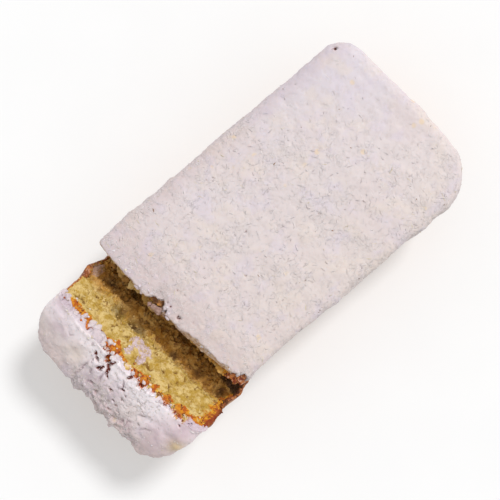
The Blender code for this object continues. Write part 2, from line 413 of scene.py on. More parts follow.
# splits on the icing's cut side, as lines of y and z there, with half widths
HEEL_SPLITS = ((((47.8, 57.0), (43.8, 59.1), (40.4, 58.8), (38.0, 59.3)), 1.0), (((46.4, 55.8), (42.5, 55.6), (39.0, 56.1)), 1.8),
               (((33.4, 54.6), (33.3, 57.6), (32.0, 60.6), (29.5, 63.7)), 0.9), (((29.5, 63.0), (29.5, 61.8), (27.6, 60.2)), 0.8),
               (((27.0, 56.0), (23.7, 55.4), (21.5, 56.0), (19.0, 57.0)), 1.0), (((17.4, 61.0), (14.8, 63.4), (11.9, 61.5), (9.5, 57.5)), 2.0),
               (((50.6, 61.0), (52.4, 58.4)), 0.7), (((36.2, 61.6), (34.8, 62.6)), 0.6))
# creases in the heel's icing
CREASES = (((-20.6, 2.5, 64.4), (-17.8, 3.9, 64.4), (-13.6, 4.4, 64.4)),
           ((-29.2, 0.1, 64.4), (-26.3, -0.8, 64.4), (-23.5, 0.0, 64.4), (-22.8, 1.4, 64.4)),
           ((-31.8, 15.5, 64.4), (-26.1, 14.8, 64.4), (-20.5, 15.0, 64.4), (-17.0, 15.2, 64.4)),
           ((-15.6, 13.7, 64.4), (-12.8, 14.5, 64.4)), ((-21.3, 9.3, 64.4), (-19.8, 10.7, 64.4), (-17.7, 11.0, 64.4)),
           ((-30.7, -6.5, 64.4), (-27.8, -6.8, 64.4), (-27.1, -5.4, 64.4)), ((-11.7, -9.2, 64.4), (-8.2, -7.5, 64.4), (-5.4, -5.8, 64.4)),
           ((-27.9, -9.9, 64.4), (-24.3, -8.8, 64.4), (-20.8, -10.3, 64.4)), ((-16.1, -25.8, 64.4), (-13.4, -28.9, 64.4), (-11.3, -29.8, 64.4)),
           ((-26.2, 8.3, 64.4), (-24.1, 6.0, 64.4), (-23.5, 3.1, 64.4)), ((-30.2, -21.4, 64.4), (-28.1, -23.1, 64.4), (-25.2, -22.5, 64.4)),
           ((-27.4, -25.9, 64.4), (-23.8, -24.7, 64.4), (-21.8, -27.6, 64.4)), ((-13.2, 35.2, 64.4), (-13.9, 33.5, 64.4), (-11.1, 31.7, 64.4)),
           ((-21.1, -32.7, 64.4), (-17.7, -34.3, 64.4), (-15.6, -37.7, 64.4)))
# cracks in the heel's icing
HEEL_CRACKS = (((-6.4, 8.0, 64.9), (-8.4, 6.2, 64.7), (-9.4, 4.5, 64.6), (-13.2, 3.4, 64.5), (-13.9, 1.4, 64.4)),
               ((-8.4, 6.2, 64.7), (-5.1, 5.6, 64.9), (-2.4, 4.8, 64.8)),
               ((-15.0, 9.2, 64.4), (-14.0, 8.4, 64.4), (-11.0, 7.4, 64.5)),
               ((-3.4, -6.4, 64.9), (-0.8, -7.4, 65.0), (1.2, -9.4, 64.0)),
               ((-9.6, 15.4, 64.7), (-7.6, 16.6, 64.8)))
# pits in the heel's icing: x, y, size, how dark
HEEL_PITS = ((-14.3, 8.5, 1.6, 0.95), (-17.9, -4.9, 1.6, 0.7), (-11.7, -9.4, 1.4, 0.95), (-9.8, -8.4, 1.0, 0.6), (-16.7, -13.4, 1.3, 0.6),
             (-13.2, -13.1, 1.1, 0.6), (-21.5, -10.8, 1.1, 0.5), (-22.6, -13.6, 1.0, 0.5), (-27.8, -12.6, 1.3, 0.5), (-27.6, 0.1, 1.4, 0.45),
             (-25.0, -18.0, 1.2, 0.35), (-11.4, -27.0, 0.9, 0.35), (-19.7, -30.4, 1.0, 0.35), (2.0, -45.6, 0.9, 0.6), (-10.3, -39.4, 0.8, 0.3),
             (-24.6, 5.2, 1.3, 0.4), (-8.4, -21.0, 0.8, 0.25), (-11.2, 13.0, 1.8, 0.5), (-10.0, 15.2, 1.0, 0.4))
# and in the loaf's, by the notch and the cut
LOAF_PITS = ((6.3, 4.3, 0.6, 0.9), (6.0, 1.0, 0.7, 0.8), (3.9, 1.4, 0.6, 0.7), (1.0, 15.4, 0.7, 0.7), (14.9, 5.4, 0.7, 0.6), (16.1, 0.8, 0.7, 0.4),
             (5.4, -6.9, 1.4, 0.7), (9.8, -14.3, 0.9, 0.5), (7.0, -3.0, 0.9, 0.4), (3.2, -9.4, 0.9, 0.35), (172.9, 52.9, 1.2, 0.9), (171.2, 54.0, 0.8, 0.6),
             (12.0, 20.0, 0.7, 0.3), (8.0, 30.0, 0.8, 0.25), (66.0, 6.0, 0.9, 0.7), (50.0, -13.0, 0.8, 0.6), (104.0, -13.4, 0.9, 0.5))
# lumps of icing left on the heel's cut edge: centre and size
HEEL_LUMPS = (((36.0, 58.6), 2.6), ((29.6, 57.4), 3.2), ((26.4, 57.4), 2.8), ((22.8, 61.4), 4.4), ((20.2, 60.0), 3.2), ((50.6, 58.0), 2.9),
              ((15.7, 58.2), 2.5), ((9.8, 62.6), 1.3), ((6.6, 62.2), 1.4), ((40.6, 61.6), 1.6), ((-6.4, 63.4), 0.9),
              ((-14.3, 62.0), 1.1), ((-28.5, 63.4), 1.4), ((-33.6, 60.4), 0.9))
TOP_LUMPS = (((-5.4, 13.6, 62.6), 3.0), ((-2.6, 17.6, 62.4), 2.2), ((-8.4, 11.6, 62.8), 1.9))
# smears of icing the knife drew down the heel's crumb: centre and half sizes
SMEARS = (((3.4, 4.6, 44.0), (6.0, 6.0, 5.6)), ((3.8, -1.4, 45.0), (6.0, 5.6, 5.4)), ((2.2, -3.6, 52.0), (4.4, 2.8, 5.4)),
          ((1.0, 5.2, 52.4), (4.2, 2.6, 4.6)))


# ================================================================ sponge
def crumb_relief(b, seed):
    """Relief (mm, outward) of torn crumb; how far into a pore each point is and where its hollows are, both for painted
    shade; and a tone for each grain.
    """
    lump = 1.3 * fbm(b, 11.0, 2, seed) + 1.0 * fbm(b, 5.2, 2, seed + 3)
    warp = b + 1.2 * np.stack([perlin(b / 2.8, seed + 11), perlin(b / 2.8, seed + 12), perlin(b / 2.8, seed + 13)], 1)
    warp = warp + 0.55 * np.stack([perlin(b / 0.9, seed + 14), perlin(b / 0.9, seed + 15), perlin(b / 0.9, seed + 16)], 1)
    f1, f2, rid = worley(warp, 3.6, seed + 20)
    grain = 0.75 * (0.55 - f1)
    g1, _, gid = worley(warp, 1.6, seed + 21)
    grain += 0.32 * (0.55 - g1)
    # pores, drawn out a little up the cake; and tears, long and ragged
    p1, _, pid = worley(warp * (1.0, 1.0, 0.6), 3.4, seed + 30)
    rad = np.where(pid > 0.6, 0.14 + 0.22 * (pid - 0.6) / 0.4, 0.0)
    pore = np.clip(1 - p1 / np.maximum(rad, 1e-3), 0, 1) * (rad > 0)
    q1, _, qid = worley(warp, 1.9, seed + 31)
    small = np.clip(1 - q1 / np.where(qid > 0.6, 0.3, 1e-3), 0, 1)
    tear = ramp(0.16 - np.abs(fbm(b, 6.5, 2, seed + 33)), 0.05, 0.15) * ramp(fbm(b, 8.0, 2, seed + 34), 0.05, 0.35)
    nick = ramp(0.14 - np.abs(fbm(warp, 3.0, 2, seed + 37)), 0.04, 0.12) * ramp(fbm(b, 4.2, 2, seed + 38), 0.08, 0.35)
    deep = np.clip(np.sqrt(pore) + 0.5 * np.sqrt(small) + 0.8 * tear + 0.75 * nick, 0, 1)
    hollow = ramp(-(lump + 2 * grain), 0.2, 1.5)
    tone = 0.5 + 0.5 * (rid - 0.5) + 0.3 * (gid - 0.5) + 0.8 * fbm(b, 4.5, 3, seed + 36)
    return lump + grain - 1.2 * np.sqrt(pore) - 0.5 * np.sqrt(small) - 1.0 * tear - 0.8 * nick, deep, hollow, np.clip(tone, 0, 1)


def build_sponge(name, node, place, heel, voxel, fine, seed, shape):
    sgn = 1 if heel else -1
    me = remesh(frame["nodes"][node].data.copy(), voxel)
    co, e = get_co(me), get_edges(me)
    set_co(me, smooth_field(co, e, len(co), rounds=3))

    def on_cut(c, n):
        b = place.to_body(c)
        nb = n @ place.rot
        return (np.abs(cut_distance(b)) < 1.6) & ((nb @ KNIFE) * sgn > 0.35)

    def near_cut(c, n):
        b = place.to_body(c)
        nb = n @ place.rot
        far = np.abs(cut_distance(b))
        return ((far < 1.6) & ((nb @ KNIFE) * sgn > 0.35)) | ((far < (12.0 if heel else 8.0)) & (nb[:, 2] > 0.4)) \
            | ((not heel) & (far < 15) & (b[:, 1] < -44) & (b[:, 2] > 30))

    subdivide_where(me, near_cut, 1)
    subdivide_where(me, on_cut, fine - 1)
    co, no, e = get_co(me), get_no(me), get_edges(me)
    b, nb = place.to_body(co), no @ place.rot
    k = cut_distance(b)
    facing = ramp((nb @ KNIFE) * sgn, 0.2, 0.75)
    face = facing * ramp(-np.abs(k), -2.6, -1.2)
    side, ends, base, top = side_depth(b, heel)
    depth = np.minimum(np.minimum(side, ends), np.minimum(base, top))

    rel, deep, hollow, tone = crumb_relief(b, seed)
    near_rim = ramp(depth, 0.3, 3.0)
    more, toast, smear, dark, ragged, pale = shape(b, nb, k, face, side, base, top)
    rel *= 1 - 0.6 * smear
    deep *= 1 - 0.8 * smear
    cut_push = rel * (0.45 + 0.55 * near_rim) + 0.6 * fbm(b, 3.0, 2, seed + 50) * (1 - near_rim)

    skin = 0.55 * fbm(b, 12.0, 3, seed + 60) + 0.16 * fbm(b, 2.6, 3, seed + 61, 0.6)
    crazed = b + 0.8 * np.stack([perlin(b / 2.0, seed + 65), perlin(b / 2.0, seed + 66), perlin(b / 2.0, seed + 67)], 1)
    w1, w2, wid = worley(crazed, 2.6, seed + 62)
    pit = np.where(wid > 0.84, np.clip(1 - w1 / (0.2 + 1.2 * (wid - 0.84)), 0, 1), 0)
    skin -= 0.5 * np.sqrt(pit)
    on_top = (1 - face) * ramp(nb[:, 2], 0.5, 0.9)
    skin += on_top * 0.5 * fbm(b, 2.2, 2, seed + 64)
    push = face * cut_push + (1 - face) * skin
    push *= np.where((base < 1.5) & (face < 0.5), 0.3, 1.0)
    b2 = b + nb * push[:, None] + more
    set_co(me, place.to_row(b2))

    attr(me, "cut", face)
    attr(me, "pore", face * deep)
    attr(me, "hollow", face * hollow)
    attr(me, "tone", tone)
    attr(me, "pit", (1 - face) * np.sqrt(pit))
    attr(me, "toast", toast)
    attr(me, "smear", smear)
    attr(me, "dark", np.clip(dark, 0, 1))
    attr(me, "ragged", np.clip(ragged, 0, 1))
    attr(me, "pale", np.clip(pale, 0, 1))
    attr(me, "height", np.clip(b[:, 2] / 64.0, 0, 1))
    me.polygons.foreach_set("use_smooth", np.ones(len(me.polygons), bool))
    ob = add_object(name, me)
    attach(ob, "root")
    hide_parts(node)
    note(name, count(me), "triangles")
    return ob


def rim_toast(b, side, base, top, seed, wide=1.0, under_by=1.5):
    """How browned the cut face is along its rim: a thin line under the icing, a wider ragged band at the sides and base."""
    wob = fbm(b, 5.0, 3, seed, 0.6)
    teeth = fbm(b, 1.9, 2, seed + 1)
    under = ramp(under_by + 1.5 * wob + 0.8 * teeth - top, -0.5, 0.7)
    flank = 0.55 * ramp(wide * (2.8 + 1.8 * wob + 1.4 * teeth) - side, -0.5, 1.4) + 0.45 * ramp(1.0 + 0.8 * wob + 0.7 * teeth - side, -0.4, 0.9)
    foot = ramp(3.2 + 1.6 * wob + 1.2 * teeth - base, -0.5, 2.8)
    return np.maximum(0.66 * under, np.maximum(flank, foot))


# where the crust under the heel's icing shows on the cut face: y, half width, how far down
HEEL_PATCHES = ((43.0, 6.0, 4.4), (33.4, 2.4, 5.0), (23.4, 3.6, 3.4), (12.4, 5.4, 5.4), (5.0, 2.0, 1.4), (-12.2, 3.4, 2.4), (-20.0, 2.2, 2.2),
                (-30.4, 3.6, 3.8), (-40.4, 4.4, 5.4), (-47.0, 3.0, 4.0))


def heel_shape(b, nb, k, face, side, base, top):
    under_by = 0.3 + 0.9 * ramp(-b[:, 1], 4, 12)
    for y, r, d in HEEL_PATCHES:
        under_by = np.maximum(under_by, 0.3 + 0.9 * d * np.exp(-((b[:, 1] - y) / (1.1 * r)) ** 2))
    under_by += ramp(under_by, 0.4, 1.5) * 3.0 * fbm(b, 3.8, 3, 374, 0.65)
    toast = rim_toast(b, side, base, top, 371, 0.55, under_by)
    low = rim_toast(b, side, base, top, 373, 1.9 * ramp(b[:, 2], 8, 26), under_by)
    toast = np.where(b[:, 1] < -20, np.maximum(toast, low), toast)
    toast = np.maximum(toast, 0.25 * ramp(9.0 + 5.0 * fbm(b, 4.0, 3, 405, 0.65) - side, 0, 6) * (b[:, 1] < -30) * ramp(b[:, 2], 16, 30))
    toast = np.maximum(toast, (1 - face) * ramp(nb[:, 2], 0.5, 0.8) * ramp(k, -16, -12))
    smear = np.zeros(len(b))
    for c, r in SMEARS:
        smear = np.maximum(smear, blob(b, c, r))
    s2 = np.stack([b[:, 0], b[:, 1] + 0.5 * b[:, 2], b[:, 2] * 0.5], 1)
    smear = ramp(smear + 0.75 * fbm(s2, 2.2, 4, 375, 0.8), 0.36, 0.72) * face
    smear = np.maximum(smear, 0.5 * face * ramp(blob(b, (5.5, 53.0, 25.0), (9, 4.6, 7.0)) + 0.4 * fbm(b, 3.2, 3, 401, 0.6), 0.4, 0.8))
    more = nb * (0.4 * smear)[:, None]
    # the lower half of the crumb has torn away, and falls back into the V
    middle = bump(b[:, 1], 17, 22)
    ridge = 39.5 + 3.4 * fbm(b, 13.0, 2, 377) + 1.2 * fbm(b, 4.0, 2, 380) + 2.0 * ramp(b[:, 1], 30, 50) - 1.5 * ramp(-b[:, 1], 10, 40) + 3.5 * middle
    fall = ramp(ridge - b[:, 2], 0, 6.0)
    ledge = ramp(28 + 2.0 * fbm(b, 7.0, 2, 402) - b[:, 2], 0, 4) * ramp(b[:, 1], -52, -46)
    more -= nb * (face * (3.2 + 1.4 * middle) * fall * (1 - 0.95 * ledge))[:, None]
    # it is torn into chunks there, with painted shade in the creases between them
    wv = b + 2.6 * np.stack([perlin(b / 4.5, 391), perlin(b / 4.5, 392), perlin(b / 4.5, 393)], 1)
    wv += 1.1 * np.stack([perlin(b / 1.8, 394), perlin(b / 1.8, 395), perlin(b / 1.8, 396)], 1)
    c1, c2, cid = worley(wv, 6.6, 390)
    chunk = face * ramp(ridge + 1.0 - b[:, 2], 0, 4)
    more += nb * (chunk * (2.6 * (0.5 - c1) + 2.2 * (cid - 0.5) + 1.6 * fbm(b, 4.0, 3, 397, 0.6)))[:, None]
    more += nb * (chunk * 1.1 * fbm(b, 1.9, 2, 400))[:, None]
    crease = ramp(c2 - c1, 0.2, 0.02) * chunk * ramp(fbm(b, 7.0, 2, 398), -0.3, 0.4)
    # holes torn far into it, with painted shade over the torn part and in the holes; and swellings of crumb between
    # them, where the painted shade is lighter
    dark = 0.16 * fall * middle + 0.3 * chunk * ramp(fbm(b, 6.0, 3, 399), 0.05, 0.5)
    for c, r, d in (((7.2, 28.0, 19.4), (8, 5.0, 4.0), 3.0), ((5.8, 41.0, 24.5), (8, 6.5, 3.4), 3.0), ((6.4, 12.0, 24.5), (8, 6.0, 2.6), 1.6),
                    ((7.4, -14.0, 29.0), (8, 5.0, 4.0), 2.6), ((10.0, -30.0, 24.0), (8, 8.0, 5.0), 3.0),
                    ((12.5, -46.0, 24.0), (8, 6.0, 6.0), 2.6)):
        at = blob(b, c, r)
        dark = np.maximum(dark, 0.8 * at)
        more -= nb * (face * d * at)[:, None]
    dark = np.maximum(dark, 0.5 * crease)
    # painted shade over the upper part of the tear, and painted light (paler crumb) on the ledge under it
    for c, r, d in (((5.0, 26.0, 33.4), (9, 6.0, 5.0), 0.6), ((5.0, 13.0, 32.0), (9, 8.0, 4.6), 0.66), ((5.0, 20.0, 29.0), (9, 10.0, 3.0), 0.6)):
        dark = np.maximum(dark, d * ramp(blob(b, c, r) + 0.25 * fbm(b, 4.0, 3, 403, 0.6), 0.2, 0.7))
    pale = np.zeros(len(b))
    for c, r, d in (((7.0, 14.0, 21.5), (9, 11.0, 5.0), 1.0), ((9.0, -8.0, 21.5), (9, 10.0, 5.0), 0.9), ((10.0, -24.0, 21.5), (9, 12.0, 4.6), 0.85),
                    ((11.0, -40.0, 22.0), (9, 8.0, 4.6), 0.8), ((6.0, 36.0, 19.5), (9, 8.0, 3.6), 0.7), ((4.0, 49.0, 30.0), (9, 5.0, 5.0), 0.35),
                    ((9.0, -12.0, 13.5), (9, 8.0, 4.0), 0.4)):
        pale = np.maximum(pale, d * ramp(blob(b, c, r) + 0.3 * fbm(b, 4.5, 3, 404, 0.6), 0.15, 0.6))
    pale *= face
    dark *= 1 - 0.8 * pale
    # painted shade at the floor of the V, less where there is painted light
    low_v = ramp(15 + 3.0 * fbm(b, 8.0, 2, 378) + 2.0 * ramp(-b[:, 1], -5, 20) + 6.0 * ramp(-b[:, 1], 38, 46) - b[:, 2], 0, 8)
    dark = np.maximum(dark, 0.95 * low_v * (1 - 0.5 * pale)) * face
    for c, r, d in (((6.2, 20.0, 27.0), (8, 6.0, 6.0), 3.4), ((7.0, -22.0, 34.0), (8, 5.0, 6.0), 2.6), ((5.0, 33.0, 31.0), (8, 6.0, 6.0), 2.6),
                    ((7.5, 3.0, 28.0), (8, 5.0, 5.0), 3.0), ((8.5, -36.0, 36.0), (8, 5.0, 5.0), 2.0)):
        at = blob(b, c, r)
        dark *= 1 - 0.5 * at
        more += nb * (face * d * at)[:, None]
    more -= nb * (1.4 * np.exp(-((b[:, 0] + 32) / 8) ** 2 - ((b[:, 1] - 50) / 9) ** 2) * (b[:, 2] > 40))[:, None]
    # the crust bump on the +Y side, low down
    out = 3.0 * np.exp(-((b[:, 0] - 1.0) / 6.0) ** 2 - ((b[:, 2] - 26.0) / 7.0) ** 2) * (b[:, 1] > 40)
    ragged = (1 - face) * ramp(np.abs(b[:, 1]), 44, 50) * ramp(-np.abs(k) + 3.0 * fbm(b, 4.0, 2, 379), -9, -3)
    dark = np.maximum(dark, 0.55 * ragged)
    out += ragged * (1.1 * fbm(b, 4.2, 3, 376, 0.6))
    out += (b[:, 1] < -40) * (1.6 * np.exp(-((b[:, 2] - 15.0) / 6.0) ** 2) - 2.3 * np.exp(-((b[:, 2] - 37.0) / 9.0) ** 2) * ramp(b[:, 0], -14, -4))
    more[:, 1] += out * np.sign(b[:, 1]) * ramp(np.abs(nb[:, 1]), 0.05, 0.5)
    return more, np.clip(toast, 0, 1), smear, dark, ragged, pale


def loaf_shape(b, nb, k, face, side, base, top):
    toast = rim_toast(b, side, base, top, 381, 1.3)
    more = np.zeros_like(b)
    # crumb that stands out past the icing's edge
    push = np.zeros(len(b))
    w = b + 1.6 * np.stack([perlin(b / 4.0, 386), perlin(b / 4.0, 387), perlin(b / 4.0, 388)], 1)
    for y, z, r, d in ((35.0, 50.0, 5.0, 4.6), (25.0, 51.0, 4.6, 4.8), (44.0, 46.0, 5.0, 4.2), (14.0, 48.0, 4.6, 4.2), (7.0, 49.0, 4.6, 3.6),
                       (-5.0, 49.0, 4.0, 2.6), (-17.0, 53.0, 6.0, 2.0), (-28.0, 54.0, 6.0, 2.4), (-37.0, 54.5, 6.5, 3.2),
                       (-45.0, 54.5, 5.5, 4.0)):
        d2 = ((w[:, 1] - y) / r) ** 2 + ((w[:, 2] - z) / (1.1 * r)) ** 2
        push = np.maximum(push, d * np.exp(-d2 * d2))
    push *= face * ramp(top, 0.2, 3.0)
    more[:, 0] -= push
    # the broken crust at the -Y corner of the cut: a lumpy knob that stands up where the icing has gone
    near = ramp(11.5 - np.hypot(b[:, 0] - 8.5, 1.15 * (b[:, 1] + 56)), 0, 5) * ramp(b[:, 2], 34, 48)
    more += nb * (near * (2.2 * fbm(b, 4.2, 3, 383, 0.6) + 1.0 * fbm(b, 2.0, 2, 385)))[:, None]
    more[:, 0] -= 3.2 * near * face * ramp(b[:, 2], 44, 54)
    more[:, 2] += 0.6 * near * ramp(nb[:, 2], 0.2, 0.8)
    toast = np.maximum(toast, near)
    # the notch: browned crust where the icing has lifted
    notch = ramp(9 - np.hypot(b[:, 0] - 2, b[:, 1] - 6.0), 0, 3) * (b[:, 2] > 54)
    more[:, 2] += notch * (1.6 * fbm(b, 3.4, 3, 384, 0.65) - 0.5)
    toast = np.maximum(toast * (1 - notch), 0.4 * notch)
    c1, c2, _ = worley(w, 6.4, 389)
    more += nb * (face * 2.4 * (0.5 - c1))[:, None]
    # the returned masks: darker patches in the notch, painted shade in the creases of the cut face, and painted light
    # on the cut face under the icing's edge towards -Y
    return more, np.clip(toast, 0, 1), np.zeros(len(b)), np.maximum(notch * ramp(fbm(b, 3.0, 3, 382, 0.65), -0.4, 0.3), 0.5 * face * ramp(c2 - c1, 0.2, 0.02)), near, \
        0.9 * face * ramp(-b[:, 1], 12, 26) * ramp(b[:, 2], 48, 54)


loaf_sponge = build_sponge("loaf_sponge_vis", "loaf_sponge", LOAF, False, 1.5, 2, 100, loaf_shape)
slice_sponge = build_sponge("slice_sponge_vis", "slice_sponge", HEEL, True, 1.45, 2, 300, heel_shape)


# ================================================================ the matted coconut: a relief of overlapping shreds
class ShredRelief:
    """Heights (mm) of thousands of short shreds laid over each other, on the unrolled top."""
    CELL, U0, V0, U1, V1 = 0.25, -62.0, -80.0, 204.0, 80.0

    def __init__(self, number, seed):
        rng = np.random.default_rng(seed)
        nu, nv = int((self.U1 - self.U0) / self.CELL), int((self.V1 - self.V0) / self.CELL)
        self.h = np.zeros((nv, nu))
        uu = rng.uniform(self.U0, self.U1, number)
        vv = rng.uniform(self.V0, self.V1, number)
        ang = rng.uniform(0, math.pi, number)
        length = rng.uniform(2.4, 6.0, number)
        wide = rng.uniform(0.7, 1.3, number)
        base = rng.uniform(0.0, 0.62, number) ** 1.2
        tall = rng.uniform(0.2, 0.4, number)
        bend = rng.uniform(-0.08, 0.08, number)
        for n in range(number):
            r = length[n] / 2 + 0.4
            i0, i1 = int((uu[n] - r - self.U0) / self.CELL), int((uu[n] + r - self.U0) / self.CELL) + 1
            j0, j1 = int((vv[n] - r - self.V0) / self.CELL), int((vv[n] + r - self.V0) / self.CELL) + 1
            i0, j0, i1, j1 = max(i0, 0), max(j0, 0), min(i1, nu), min(j1, nv)
            if i1 <= i0 or j1 <= j0:
                continue
            du = self.U0 + (np.arange(i0, i1) + 0.5) * self.CELL - uu[n]
            dv = (self.V0 + (np.arange(j0, j1) + 0.5) * self.CELL - vv[n])[:, None]
            c, s = math.cos(ang[n]), math.sin(ang[n])
            a = du * c + dv * s
            t = -du * s + dv * c + bend[n] * a * a
            e = np.clip(1 - (a / (length[n] / 2)) ** 2, 0, 1)
            p = 1 - (t / (wide[n] / 2 * (0.35 + 0.65 * np.sqrt(e)))) ** 2
            z = np.where((p > 0) & (e > 0), base[n] + tall[n] * np.sqrt(np.clip(p, 0, 1)) * np.minimum(1, 2.2 * e), 0.0)
            win = self.h[j0:j1, i0:i1]
            np.maximum(win, z, out=win)
        # softened, because the icing has soaked the shreds into one mat
        m = self.h
        self.h = (m + np.roll(m, 1, 0) + np.roll(m, -1, 0) + np.roll(m, 1, 1) + np.roll(m, -1, 1)) / 5
        self.h -= self.h.mean()

    def sample(self, b, nb):
        """Height over the mean at body points; the sides are laid out flat beyond the edges of the top."""
        drop = np.clip(HEIGHT + 0.5 - b[:, 2], 0, 24)
        flat = nb[:, :2] / np.maximum(np.linalg.norm(nb[:, :2], axis=1), 0.25)[:, None]
        x = np.clip((b[:, 0] + drop * flat[:, 0] - self.U0) / self.CELL - 0.5, 0, self.h.shape[1] - 1.001)
        y = np.clip((b[:, 1] + drop * flat[:, 1] - self.V0) / self.CELL - 0.5, 0, self.h.shape[0] - 1.001)
        i, j = x.astype(int), y.astype(int)
        fx, fy = x - i, y - j
        f = self.h
        return (f[j, i] * (1 - fx) + f[j, i + 1] * fx) * (1 - fy) + (f[j + 1, i] * (1 - fx) + f[j + 1, i + 1] * fx) * fy


# ================================================================ icing
def thicken_inward(me, sponge_node, place, heel, by):
    """Sink the icing's inner skin into the sponge, so that the thin lip has body for the remesh."""
    from mathutils.bvhtree import BVHTree
    sm = frame["nodes"][sponge_node].data
    tree = BVHTree.FromPolygons([v.co[:] for v in sm.vertices], [p.vertices[:] for p in sm.polygons])
    co = get_co(me)
    b = place.to_body(co)
    near = np.array([tree.find_nearest(Vector(c * MM))[3] for c in co]) / MM
    inner = near < 0.72
    m = np.stack([np.minimum(b[:, 0], LOAF_LENGTH - 35) if not heel else np.maximum(b[:, 0], -HEEL_LENGTH + 30),
                  np.clip(b[:, 1], -35, 35), np.full(len(b), 35.0)], 1)
    d = m - b
    d /= np.linalg.norm(d, axis=1, keepdims=True)
    b = b + d * (inner * by)[:, None]
    set_co(me, place.to_row(b))


def plug(me, place, lo, hi):
    """Fill part of a mesh with a box (body frame, mm)."""
    bm = bmesh.new()
    bm.from_mesh(me)
    lo, hi = np.array(lo), np.array(hi)
    for v in bmesh.ops.create_cube(bm, size=1.0)["verts"]:
        v.co = Vector(place.to_row(((lo + hi) / 2 + np.array(v.co[:]) * (hi - lo))[None])[0] * MM)
    bm.to_mesh(me)
    bm.free()


def build_icing(node, sponge_node, place, heel, voxel):
    src = frame["nodes"][node].data.copy()
    thicken_inward(src, sponge_node, place, heel, 2.4)
    if not heel:            # the notch is cut afresh below, to its true outline
        plug(src, place, (0.0, 1.5, 57.2), (9.0, 15.5, 63.9))
    me = remesh(src, voxel)
    co, e = get_co(me), get_edges(me)
    set_co(me, smooth_field(co, e, len(co), rounds=4))

    def outside(c, n):
        b, nb = place.to_body(c), n @ place.rot
        cutside = (np.abs(cut_distance(b)) < 1.6) & ((nb @ KNIFE) * (1 if heel else -1) > 0.35)
        level = (b[:, 2] > HEIGHT - 2.4) & (nb[:, 2] > 0.2)
        mid = np.array((LOAF_LENGTH / 2 if not heel else -10.0, 0.0, 40.0))
        away = ((b - mid) * nb).sum(1) > 0
        edge = (np.abs(nb[:, 2]) < 0.9) & away
        return (b[:, 2] > 47) & (level | (edge & (b[:, 2] > 50)) | cutside)

    subdivide_where(me, outside, 1)
    co, no = get_co(me), get_no(me)
    b, nb = place.to_body(co), no @ place.rot
    k = cut_distance(b)
    facing = ramp((nb @ KNIFE) * (1 if heel else -1), 0.2, 0.75)
    cut = facing * ramp(-np.abs(k), -2.4, -1.2)
    return me, b, nb, k, cut


def finish_icing(name, node, me, place, b, **fields):
    set_co(me, place.to_row(b))
    for f, values in fields.items():
        attr(me, f, np.clip(values, 0, 1))
    me.polygons.foreach_set("use_smooth", np.ones(len(me.polygons), bool))
    ob = add_object(name, me)
    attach(ob, "root")
    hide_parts(node)
    note(name, count(me), "triangles")
    return ob


def pits_in(b, b2, nb, pits):
    """Sink small ragged pits, given as x, y, size and darkness, in the top; and how dark each point is for them."""
    dark = np.zeros(len(b))
    depth = np.zeros(len(b))
    wob = b[:, :2] + 0.9 * np.stack([perlin(b / 1.2, 77), perlin(b / 1.2, 78)], 1)
    for x, y, r, how in pits:
        d = np.hypot(wob[:, 0] - x, 0.8 * (wob[:, 1] - y)) / r
        hit = smooth01(np.clip(1.2 - d, 0, 1)) * (b[:, 2] > 55)
        depth = np.maximum(depth, hit * (0.4 + how) * min(r, 1.3))
        dark = np.maximum(dark, how * hit)
    return b2 - nb * depth[:, None], dark


def tint(b):
    """0 is cream, towards the -Y side; 1 is bluish, towards the far +Y corner."""
    return np.clip(0.45 + b[:, 1] / 260 + (b[:, 0] - 90) / 700 + 0.35 * ramp(b[:, 0] + b[:, 1], 150, 230), 0, 1)


relief = ShredRelief(24000, 5)
note("relief")

# ---- the loaf's icing: soaked and pressed nearly level, its shreds showing as a shallow mat
me, b, nb, k, cut = build_icing("loaf_icing", "loaf_sponge", LOAF, False, 1.25)
h = relief.sample(b, nb)
far_end = ramp(b[:, 0] + 0.8 * b[:, 1], 130, 200)
paste = np.maximum(ramp(fbm(b, 16.0, 2, 41), -0.4, 0.35) * (0.35 + 0.65 * ramp(b[:, 0], 14, 40)), far_end)
edge_x = np.minimum(LOAF_LENGTH - b[:, 0] - TAN_OB * b[:, 1], HALF_W - np.abs(b[:, 1]))
rim = 1 - ramp(edge_x, 0, 8)
swell = 0.42 * fbm(b, 32.0, 2, 42) + 0.42 * fbm(b, 8.0, 2, 43)
wander = 0.8 * fbm(b, 20.0, 2, 44) + 0.5 * fbm(b, 5.0, 2, 45) + 0.34 * fbm(b, 1.9, 2, 48)
push = (1 - cut) * (h * (0.33 - 0.24 * paste) + swell * (1 - 0.5 * rim) + wander * rim)
near_cut = ramp(-b[:, 0], -30, -8) * ramp(np.abs(b[:, 1]), 50, 36) * (0.5 + 0.5 * ramp(fbm(b, 14.0, 2, 49), -0.3, 0.3))
push += (1 - cut) * near_cut * (0.45 * fbm(b, 5.0, 3, 38, 0.6) + 0.3 * fbm(b, 2.2, 2, 39))
push += cut * (0.8 * fbm(b, 3.6, 3, 46, 0.6) + 0.4 * fbm(b, 1.4, 2, 47))
b2 = b + nb * push[:, None]
b2[:, 0] -= 1.4 * np.exp(-(k / 4.0) ** 2) * ramp(-b[:, 1], 5, 12) * ramp(b[:, 1], -42, -28)
